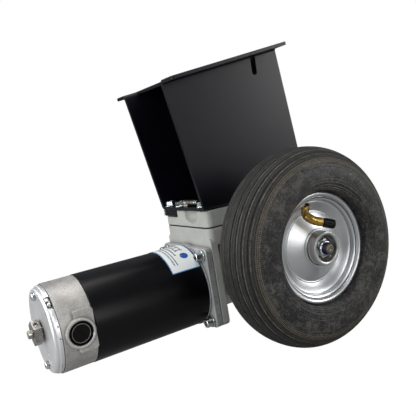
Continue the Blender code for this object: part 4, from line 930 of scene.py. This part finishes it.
# rubber pad with teeth on its -x face
PAD_BASE, PAD_TOP, PAD_TEETH = 85.0, 93.2, 4
TOOTH_X, TOOTH_ROOT_X = 7.6, 9.4
tooth_pitch = (PAD_TOP - PAD_BASE) / PAD_TEETH
outline = [(23.4, PAD_BASE), (23.4, PAD_TOP), (TOOTH_X, PAD_TOP)]
for k in range(PAD_TEETH):
    top = PAD_TOP - tooth_pitch * k
    base = PAD_TOP - tooth_pitch * (k + 1)
    outline += [(TOOTH_X, top - 0.1), (TOOTH_X, base + 0.85),
                (TOOTH_ROOT_X, base + 0.75), (TOOTH_ROOT_X, base + 0.1)]
outline.append((TOOTH_ROOT_X, PAD_BASE))
pad = prism("Y", outline, 19.2, 52.6, "pad")
cut(pad, rod("Z", 80, 100, 4.5, "pad", 32, BRACKET_BOLTS[0]))
place(bevel(pad, 0.15, 2), "ribbed_pad")

OUTPUT_SEAL = [(-84.0, 10.6), (-84.0, 17.6), (-77.0, 17.6), (-77.0, 16.4), (-82.4, 16.4),
               (-82.4, 11.6), (-79.0, 10.6)]
place(lathe("Y", fillet(OUTPUT_SEAL, 0.3, 3), "seal", 96, AXLE_CENTRE), "output_seal")

# bearing cover at +y with four screw heads
BEARING_COVER = [(48.6, 0), (48.6, 23.4), (53.8, 23.4), (53.8, 32.0), (56.6, 32.0), (57.4, 31.6),
                 (57.8, 30.8), (57.8, 22.0), (57.2, 21.4), (57.2, 0)]
COVER_SCREW = [(56.6, 0), (56.6, 2.6), (58.3, 2.5), (58.9, 1.9), (59.0, 1.1), (58.2, 0.9),
               (58.2, 0)]
bearing_cover = lathe("Y", BEARING_COVER, "paint", 96, AXLE_CENTRE)
join(bearing_cover,
     *[lathe("Y", COVER_SCREW, "zinc", 32, x_z) for x_z in diagonals(26.6, AXLE_CENTRE)])
place(bearing_cover, "bearing_cover")

END_CAP = [(134.0, 0), (134.0, 16.0), (140.4, 16.0), (140.4, 21.0), (142.6, 21.0), (143.2, 20.5),
           (143.4, 19.8), (143.4, 0)]
end_cap = lathe("X", END_CAP, "zinc", 96)
cut(end_cap, prism("X", hexagon(12.0), 139.0, 150.0, "zinc"))
place(end_cap, "worm_end_cap")

# =============================================================== output shaft
OUTPUT_SHAFT = [(48.2, 0), (48.2, 9.4), (47.6, 10.0), (18.0, 10.0), (18.0, 12.5), (-13.6, 12.5),
                (-13.6, 14.2), (-30.0, 14.2), (-30.0, 12.2), (-61.0, 12.2), (-61.0, 10.0),
                (-85.6, 10.0), (-86.0, 10.4), (-86.0, 12.6), (-86.4, 13.0), (-102.6, 13.0),
                (-103.0, 12.6), (-103.0, 9.8), (-151.0, 9.8), (-151.0, 5.9)]
SHAFT_TIP = [(-165.6, 5.2), (-171.0, 5.1), (-172.0, 4.3), (-172.1, 1.7), (-170.4, 0.0)]
THREAD_START, THREAD_PITCH, THREAD_TURNS = -151.6, 0.875, 15
thread = []
for i in range(THREAD_TURNS):
    root = THREAD_START - THREAD_PITCH * i
    thread += [(root, 5.3), (root - 0.44, 5.85)]
output_shaft = lathe("Y", OUTPUT_SHAFT + thread + SHAFT_TIP, "spindle", 72, space=AXLE)
# keyways under the hub and the worm wheel
cut(output_shaft, box((-3.0, -140.0, 7.0), (3.0, -112.0, 12.0), "spindle", AXLE),
    box((-3.0, -10.0, 9.0), (3.0, 10.0, 16.0), "spindle", AXLE))
place(output_shaft, "output_shaft", "wheel")

# =============================================================== tyre
# The outside is a rounded arch of half-width 33 about radius 79, with grooves carved along
# its normal. Grooves are (place across or radius, half-width, depth); a negative depth is a rib.
OUTER_STEPS = 420
ARCH_HALF_WIDTH, ARCH_MID, ARCH_UP, ARCH_DOWN, ARCH_POWER = 33.0, 79.0, 33.0, 26.0, 0.85
TREAD_GROOVES = [(y, 0.9, 1.25) for y in (-24.6, -19.0, -12.4, -5.4, 5.4, 12.4, 19.0, 24.6)]
TREAD_GROOVES += [(y, 0.4, 0.45) for y in (-21.8, -15.7, -8.9, 8.9, 15.7, 21.8)]
SIDE_GROOVES = ((98.6, 0.5, 0.5), (91.6, 0.9, 0.45), (88.9, 0.6, -0.25), (76.0, 0.6, 0.28),
                (71.4, 0.7, -0.35), (69.0, 0.7, 0.55), (66.8, 0.7, 0.55), (64.6, 0.5, 0.4))


def signed_power(value):
    return math.copysign(abs(value) ** ARCH_POWER, value)


def groove_depth(y, r):
    depth = 0.0
    if r > 99:
        for groove, half, deep in TREAD_GROOVES:
            off = abs(y - groove) / half
            if off < 1:
                depth = max(depth, deep * (1 - off * off) ** 0.6)
    elif abs(y) > 20:
        for groove, half, deep in SIDE_GROOVES:
            off = abs(r - groove) / half
            if off < 1:
                depth += deep * (1 - off * off)
    return depth


outer = []
for k in range(OUTER_STEPS + 1):
    t = math.radians(-122 + 244 * k / OUTER_STEPS)
    c, s = math.cos(t), math.sin(t)
    outer.append((ARCH_HALF_WIDTH * signed_power(s),
                  ARCH_MID + (ARCH_UP if c > 0 else ARCH_DOWN) * signed_power(c)))
carved = []
for k, (y, r) in enumerate(outer):
    a, b = outer[max(k - 1, 0)], outer[min(k + 1, OUTER_STEPS)]
    run = Vector((b[0] - a[0], b[1] - a[1])).normalized()
    depth = groove_depth(y, r)
    carved.append((y + run.y * depth, r - run.x * depth))
# on long flat runs keep only the points that change direction
kept = [carved[0]]
for k in range(1, len(carved) - 1):
    last, here, after = Vector(kept[-1]), Vector(carved[k]), Vector(carved[k + 1])
    step = here - last
    if step.length > 1.6 or abs(step.normalized().cross((after - here).normalized())) > 0.05:
        kept.append(carved[k])
kept.append(carved[-1])
inside = []
for k in range(17):
    t = math.radians(112 - 224 * k / 16)
    inside.append((24.5 * math.sin(t), 78 + 24.5 * math.cos(t)))
bead = spline([(-16.4, 53.3), (-17.7, 55.5), (-18.0, 58.6), (-18.3, 61.4), (-20.2, 62.9),
               (-23.4, 63.0)], 3)
tyre = lathe("Y", bead + kept + flip(reversed(bead), -1) + [(11.5, 53.3), (11.8, 60.0)] + inside
             + [(-11.8, 60.0), (-11.5, 53.3)], "tyre", 256, space=WHEEL)
place(tyre, "tyre", "wheel")

# =============================================================== rim halves
RIM_FACE = [(-19.0, 61.2), (-20.1, 60.7), (-20.5, 59.6), (-20.3, 58.3), (-19.2, 56.8),
            (-17.2, 55.7), (-14.8, 54.9), (-13.3, 54.2), (-12.6, 53.3), (-12.6, 52.3),
            (-12.8, 51.3), (-12.6, 50.2), (-11.8, 48.8), (-10.3, 46.8), (-8.2, 44.2),
            (-6.7, 42.1), (-5.9, 40.9), (-5.9, 40.3), (-6.3, 39.8), (-6.3, 39.1), (-6.1, 38.5),
            (-6.5, 37.6), (-8.0, 34.4), (-10.2, 29.6), (-12.3, 25.0), (-14.0, 21.6),
            (-14.6, 20.8), (-15.4, 20.7), (-15.8, 20.2), (-16.4, 19.2)]
RIM_SEAT = [(-0.4, 52.0), (-15.6, 52.5), (-16.9, 53.6), (-18.4, 57.4), (-18.5, 60.6)]
RIM_BACK = [(-14.2, 19.2), (-12.0, 21.4), (-4.3, 38.6), (-3.8, 40.4), (-4.4, 41.8),
            (-9.2, 50.0), (-0.4, 50.0)]
VALVE_HOLE = [(-156, 0), (-156, 6.1), (-150.2, 5.8), (-148.8, 5.5), (-142.5, 5.5), (-142.5, 0)]
rim = lathe("Y", spline(RIM_FACE, 4) + RIM_BACK + RIM_SEAT, "rim", 192, space=WHEEL)
cut(rim, lathe("Y", VALVE_HOLE, "hole", 48, (-6.2, 45.3), AXLE))
place(rim, "rim_outer_half", "wheel")

INNER_FACE = [(19.0, 61.2), (20.15, 60.6), (20.3, 59.4), (19.5, 57.8), (17.9, 56.3),
              (15.6, 53.6), (13.6, 50.6), (12.6, 48.0), (12.4, 45.0), (12.4, 30.0), (12.4, 19.2)]
INNER_BACK = [(10.0, 19.2), (10.0, 48.0), (8.0, 50.0), (0.0, 50.0), (0.0, 52.0)]
RIM_BOLT = [(12.0, 0), (12.0, 5.0), (12.8, 5.2), (13.4, 4.9), (13.4, 3.6), (17.0, 3.4),
            (17.5, 2.8), (17.5, 0)]
inner_rim = lathe("Y", spline(INNER_FACE, 3) + INNER_BACK + flip(RIM_SEAT[1:], -1),
                  "rim", 160, space=WHEEL)
join(inner_rim, *[lathe("Y", RIM_BOLT, "zinc", 40, x_z, WHEEL) for x_z in diagonals(33)])
place(inner_rim, "rim_inner_half", "wheel")

# =============================================================== hub
HUB_SLEEVE = [(-103.5, 10.2), (-103.5, 17.8), (-104.3, 18.6), (-122.0, 18.6), (-152.6, 18.6)]
HUB_NOSE = [(-153.2, 18.6), (-157.2, 18.6), (-157.9, 18.25), (-158.4, 17.7), (-158.9, 18.25),
            (-159.6, 18.6), (-165.7, 18.6), (-166.5, 18.4), (-167.0, 17.8), (-167.05, 17.0),
            (-166.8, 15.6), (-166.2, 14.9), (-165.4, 14.7)]
HUB_BORE = [(-160.5, 14.7), (-160.1, 14.4), (-152.4, 14.4), (-152.4, 10.2)]
hub = lathe("Y", HUB_SLEEVE + spline(HUB_NOSE, 3) + HUB_BORE, "hub", space=AXLE)
cut(hub, box((-3.0, -152.0, 8.0), (3.0, -100.0, 12.4), "hub", AXLE))
place(hub, "wheel_hub", "wheel")
WASHER = [(-152.8, 6.4), (-155.2, 6.4), (-155.2, 12.6), (-152.8, 12.6)]
place(lathe("Y", fillet(WASHER, 0.3, 3), "zinc", 72, space=AXLE), "hub_washer", "wheel")

# locking nut: chamfered hexagon, round crown and a blue insert
NUT_BLANK = [(-163, 0), (-163, 9.2), (-161.0, 11.4), (-156.6, 11.4), (-155, 10), (-155, 0)]
NUT_CROWN = [(-161.0, 0), (-161.0, 8.9), (-163.6, 8.9), (-165.0, 8.5), (-165.8, 7.7),
             (-165.8, 6.9), (-165.4, 6.7), (-165.4, 0)]
NUT_INSERT = [(-160.0, 5.95), (-165.3, 5.95), (-165.9, 6.3), (-166.0, 7.2), (-165.5, 8.0),
              (-164.8, 7.6), (-160.0, 6.9)]
nut = prism("Y", hexagon(19.0, 0.2), -162.4, -155.6, "zinc", AXLE)
intersect(nut, lathe("Y", NUT_BLANK, "zinc", 72, space=AXLE))
unite(nut, lathe("Y", NUT_CROWN, "zinc", 72, space=AXLE))
cut(nut, rod("Y", -175, -150, 6.6, "zinc", space=AXLE))
join(nut, lathe("Y", NUT_INSERT, "insert", 64, space=AXLE))
place(nut, "hub_nut", "wheel")


# =============================================================== valve
def sweep(points, radii, mat, space, sides):
    """Round tube along the points, with a radius at each."""
    rings, u = [], Vector((0.2, 0.1, 1.0))
    turns = [2 * math.pi * j / sides for j in range(sides)]
    for i, p in enumerate(points):
        along = (points[min(i + 1, len(points) - 1)] - points[max(i - 1, 0)]).normalized()
        u = (u - along * u.dot(along)).normalized()
        v = along.cross(u)
        rings.append([p + radii[i] * (u * math.cos(t) + v * math.sin(t)) for t in turns])
    return loft(rings, mat, space)


# bent stem, thicker towards its tip, ending in a threaded tail along the cap's axis
STEM_TIP, CAP_TIP = Vector((-3.2, -168.0, 29.7)), Vector((9.8, -175.4, 24.5))
stem = spline([(-5.8, -142.0, 45.0), (-6.2, -149.4, 45.2), (-13.2, -154.5, 43.6),
               (-15.9, -157.6, 40.2), (-14.3, -161.2, 36.2), (-9.8, -164.5, 32.6), STEM_TIP], 14)
cap_axis = (CAP_TIP - STEM_TIP).normalized()
radii = []
for i in range(len(stem)):
    f = i / (len(stem) - 1)
    radii.append(3.5 + 1.3 * min(1, max(0, (f - 0.167) / 0.5)) + 0.05 * math.sin(f * 36)
                 - (0.3 if f > 0.97 else 0))
# tail: distance past the stem's tip, radius
tail = [(0.4, 3.0)] + [(0.9 + 0.35 * i, 2.62 if i % 2 else 2.35) for i in range(12)]
stem += [stem[-1] + cap_axis * d for d, _ in tail]
radii += [r for _, r in tail]
place(sweep(stem, radii, "brass", AXLE, 40), "valve_stem", "wheel")

# cap turned about its axis, with shallow grip ribs on its skirt: z, radius, rib depth
CAP_SEG, CAP_RIBS = 96, 16
VALVE_CAP = [(0, 3.0, 0), (0, 4.9, 0), (0.3, 5.2, 0), (1.2, 5.2, 0), (1.5, 5.2, 0.3),
             (9.4, 5.15, 0.3), (9.8, 5.1, 0), (11.4, 4.9, 0), (12.3, 4.5, 0), (12.8, 4.0, 0),
             (13.0, 3.3, 0), (13.0, 0, 0), (6.0, 0, 0), (6.0, 3.0, 0)]
cap_frame = (AXLE @ Matrix.Translation(STEM_TIP + cap_axis * 1.0)
             @ cap_axis.to_track_quat("Z", "Y").to_matrix().to_4x4())
rings = []
for z, r, rib_depth in VALVE_CAP:
    ring = []
    for k in range(CAP_SEG if r else 1):
        t = 2 * math.pi * k / CAP_SEG
        ribbed = r - rib_depth * (0.5 + 0.5 * math.cos(CAP_RIBS * t))
        ring.append((ribbed * math.cos(t), ribbed * math.sin(t), z))
    rings.append(ring)
place(skin(rings, CAP_SEG, "plastic", cap_frame), "valve_cap", "wheel")

# =============================================================== bracket
# A hat-section trough in the row frame: rims at z = 0, floor sloping down with the gearmotor.
SHEET, WALL_Y, OVERHANG, HALF_LENGTH = 4.0, 53.85, 25.0, 86.0
EDGE_LEAN = 0.06                      # the +x end draws in by this per unit of depth
BEND_IN, BEND_OUT = 2.5, 6.5          # bend radii at the rims
FLOOR_START = -157.6                  # floor height at the -x end
SLOPE = -math.tan(TILT)
RIM_Y = WALL_Y + OVERHANG


def arc(cy, cz, r, a0, a1, steps):
    turns = [math.radians(a0 + (a1 - a0) * k / steps) for k in range(steps + 1)]
    return [(cy + r * math.cos(t), cz + r * math.sin(t)) for t in turns]


def hat(floor):
    """Outline of the section, y and z."""
    bend_y, bend_z = WALL_Y + BEND_IN, -BEND_OUT
    foot_y, foot_z = WALL_Y - 5.0, floor + 5.0
    under = ([(RIM_Y, -SHEET)] + arc(bend_y, bend_z, BEND_IN, 90, 180, 8)
             + arc(foot_y, foot_z, 5.0, 0, -90, 10))
    over = ([(RIM_Y, 0.0)] + arc(bend_y, bend_z, BEND_OUT, 90, 180, 10)
            + arc(foot_y, foot_z, 1.0, 0, -90, 6))
    return ([(-y, z) for y, z in under] + under[::-1] + over + [(-y, z) for y, z in over][::-1])


def edge_x(z):
    """Where the leaning +x edge lies at a height."""
    return HALF_LENGTH - EDGE_LEAN * abs(z)


floor_end = (FLOOR_START
             + SLOPE * (edge_x(FLOOR_START + SLOPE * (2 * HALF_LENGTH - 11)) + HALF_LENGTH))
bracket = loft([[(-HALF_LENGTH, y, z) for y, z in hat(FLOOR_START)],
                [(edge_x(z), y, z) for y, z in hat(floor_end)]], "coat", ROW)
# bulkhead near the +x end: z, inset from the edge
bulkhead_z = FLOOR_START + SLOPE * (HALF_LENGTH - 20 + HALF_LENGTH) + 2.0
bulkhead = [(edge_x(z) - inset, z) for z, inset in
            ((-1.0, 12.0), (-1.0, 8.0), (bulkhead_z, 8.0), (bulkhead_z, 12.0))]
unite(bracket, prism("Y", bulkhead, -WALL_Y + 2, WALL_Y - 2, "coat", ROW))
# round the corners of the plan
plan = round_rect(-HALF_LENGTH + 0.01, HALF_LENGTH - 0.01, -RIM_Y + 0.01, RIM_Y - 0.01, 5, 8)
intersect(bracket, prism("Z", plan, -300, 10, "coat", ROW))
# bolt and breather holes in the floor, a slot in the -y wall, holes in the rims
cutters = [rod("Z", 90, 101, 4.5, "coat", 32, x_y) for x_y in BRACKET_BOLTS]
cutters.append(rod("Z", 90, 101, 3.6, "coat", 32, (BREATHER_X, 0.0)))
SLOT_R = 3.75
wall_slot_frame = (Matrix.Translation((46.6 * MM, 0, -9.5 * MM))
                   @ Matrix.Rotation(TILT, 4, "Y") @ Matrix.Scale(MM, 4))
slot_outline = [(SLOT_R * math.cos(math.radians(t)), -14.0 + SLOT_R * math.sin(math.radians(t)))
                for t in range(180, 361, 12)] + [(SLOT_R, 5.0), (-SLOT_R, 5.0)]
cutters.append(prism("Y", slot_outline, -60.0, -45.0, "coat", wall_slot_frame))
for x_y in ((-62, -68), (62, -68), (-62, 68), (62, 68)):
    cutters.append(rod("Z", -10, 5, 4.5, "coat", 40, x_y, space=ROW))
cut(bracket, *cutters)
place(bevel(bracket, 0.45, 2, 40), "mounting_bracket")

# tie plate across the mouth, following the rim bends 0.3 outside them
tie_r = BEND_OUT + 0.3
half = [(WALL_Y - SHEET - 0.3, -4.0)]
for angle in (178, 165, 150, 135, 120, 110, 102):
    t = math.radians(angle)
    z = -BEND_OUT + tie_r * math.sin(t)
    if -3.9 < z < -0.1:
        half.append((WALL_Y + BEND_IN + tie_r * math.cos(t), z))
half.append((WALL_Y + BEND_IN - math.sqrt(tie_r ** 2 - BEND_OUT ** 2), 0.0))
place(prism("X", half + flip(reversed(half), -1), -66.0, 61.5, "coat", ROW),
      "tie_plate")

# =============================================================== CAD nodes that keep their mesh
KEPT = {
    "magnet_a": "ferrite", "magnet_b": "ferrite", "brush_a": "carbon", "brush_b": "carbon",
    "brush_spring_a": "steel", "brush_spring_b": "steel", "armature_core": "core",
    "armature_winding": "copper", "commutator": "copper", "motor_bearing_rear": "steel",
    "motor_bearing_front": "steel", "worm": "steel", "worm_wheel": "bronze",
    "input_seal": "seal", "gear_key": "steel", "hub_key": "steel",
    "output_bearing_outboard": "steel", "output_bearing_inboard": "steel",
    "worm_end_bearing": "steel", "inner_tube": "innertube",
}
for node, key in KEPT.items():
    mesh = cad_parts[node].data
    mesh.materials.clear()
    mesh.materials.append(MATERIALS[key])


# =============================================================== floor and world
def corners(bounds):
    """Low and high corner as lists; bounds may be a dict or a pair."""
    pair = bounds.values() if isinstance(bounds, dict) else bounds
    return [[float(x) for x in corner] for corner in pair]


FLOOR_GAP = 0.004  # metres below the lowest CAD point
floor_z = Vector(corners(CAD_BOX)[0]).z - FLOOR_GAP
bpy.ops.mesh.primitive_plane_add(size=30, location=(0, 0, floor_z))
floor = bpy.context.object
floor.name = "floor"
# matt grey to the light, nearly pure glow to the camera
net = new_net("floor", "pale_floor")
net.set_shader(Base_Color=(0.30, 0.30, 0.30, 1),
               Roughness=net.ramp(net.noise(0.002, detail=2), (0.3, 0.7), (0.85, 0.95)))
glow = net.new("Emission", {"Strength": 1.03})
camera_ray = net.new("LightPath").outputs["Is Camera Ray"]
mixer = net.new("MixShader", {0: net.times(camera_ray, 0.97), 1: net.shader.outputs[0],
                              2: glow.outputs[0]})
net.plug(net.tree.nodes["Material Output"].inputs[0], mixer.outputs[0])
floor.data.materials.append(MATERIALS["floor"])
floor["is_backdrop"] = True

# white to the camera; to the object, soft and brighter overhead
world = bpy.data.worlds.new("studio")
bpy.context.scene.world = world
world.use_nodes = True
world.node_tree.nodes.clear()
net = Net(world.node_tree)
height = net.split(net.new("TexCoord").outputs["Generated"])[2]
seen = net.new("Background", {0: (1, 1, 1, 1)})
ambient = net.new("Background", {0: (0.93, 0.96, 1.0, 1),
                                 1: net.ramp(height, (-0.25, 0.75), (0.03, 0.30))})
mixer = net.new("MixShader", {0: net.new("LightPath").outputs["Is Camera Ray"],
                              1: ambient.outputs[0], 2: seen.outputs[0]})
net.new("OutputWorld", {0: mixer.outputs[0]})

# =============================================================== camera
# Turn (rotation vector, radians) and shift (mm) from GEARMOTOR to a view with y down, z forward.
VIEW_TURN = Vector((1.594, -0.587, 0.288))
VIEW_SHIFT = Vector((-23.545, 96.561, 663.727))
back_turn = Matrix.Rotation(VIEW_TURN.length, 3, VIEW_TURN.normalized()).transposed()
camera_local = (Matrix.Translation(back_turn @ (-VIEW_SHIFT))
                @ (back_turn @ Matrix.Diagonal((1, -1, -1))).to_4x4())
location = (GEARMOTOR_M @ ROW @ camera_local).translation
turn = (GEARMOTOR.to_3x3().normalized() @ camera_local.to_3x3()).normalized()
camera_data = bpy.data.cameras.new("camera")
camera_data.sensor_width = 36.0
camera_data.lens = 44.97403846
camera = bpy.data.objects.new("camera", camera_data)
bpy.context.scene.collection.objects.link(camera)
camera.matrix_world = Matrix.Translation(location) @ turn.to_4x4()
bpy.context.scene.camera = camera

# =============================================================== lights
TARGET = Vector((-0.05, -0.03, -0.17))  # metres, near the object's middle


def softbox(name, offset, size, power, colour=(1.0, 1.0, 1.0)):
    """Area light aimed at TARGET. offset: metres from it, right, up and back in the view."""
    position = TARGET + camera.matrix_world.to_3x3() @ Vector(offset)
    data = bpy.data.lights.new(name, "AREA")
    data.shape = "RECTANGLE"
    data.size, data.size_y = size
    data.energy = power
    data.color = colour
    light = bpy.data.objects.new(name, data)
    bpy.context.scene.collection.objects.link(light)
    aim = (TARGET - position).normalized()
    light.matrix_world = (Matrix.Translation(position)
                          @ aim.to_track_quat("-Z", "Y").to_matrix().to_4x4())


COOL = (0.98, 0.99, 1.0)
softbox("key_top", offset=(-0.35, 1.35, 0.30), size=(1.3, 0.7), power=11, colour=(1.0, 0.99, 0.98))
softbox("left_front", offset=(-1.25, 0.08, 1.25), size=(0.5, 1.2), power=18, colour=COOL)
softbox("left_back", offset=(-1.5, 0.35, 0.0), size=(0.6, 1.2), power=10, colour=COOL)
softbox("right", offset=(1.6, 0.62, 0.25), size=(0.45, 0.7), power=12)
softbox("front", offset=(0.95, 0.30, 1.50), size=(0.42, 0.9), power=7)

bpy.context.scene.view_settings.view_transform = "Standard"
bpy.context.scene.view_settings.look = "None"

{"cad": corners(CAD_BOX), "visual": corners(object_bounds())}
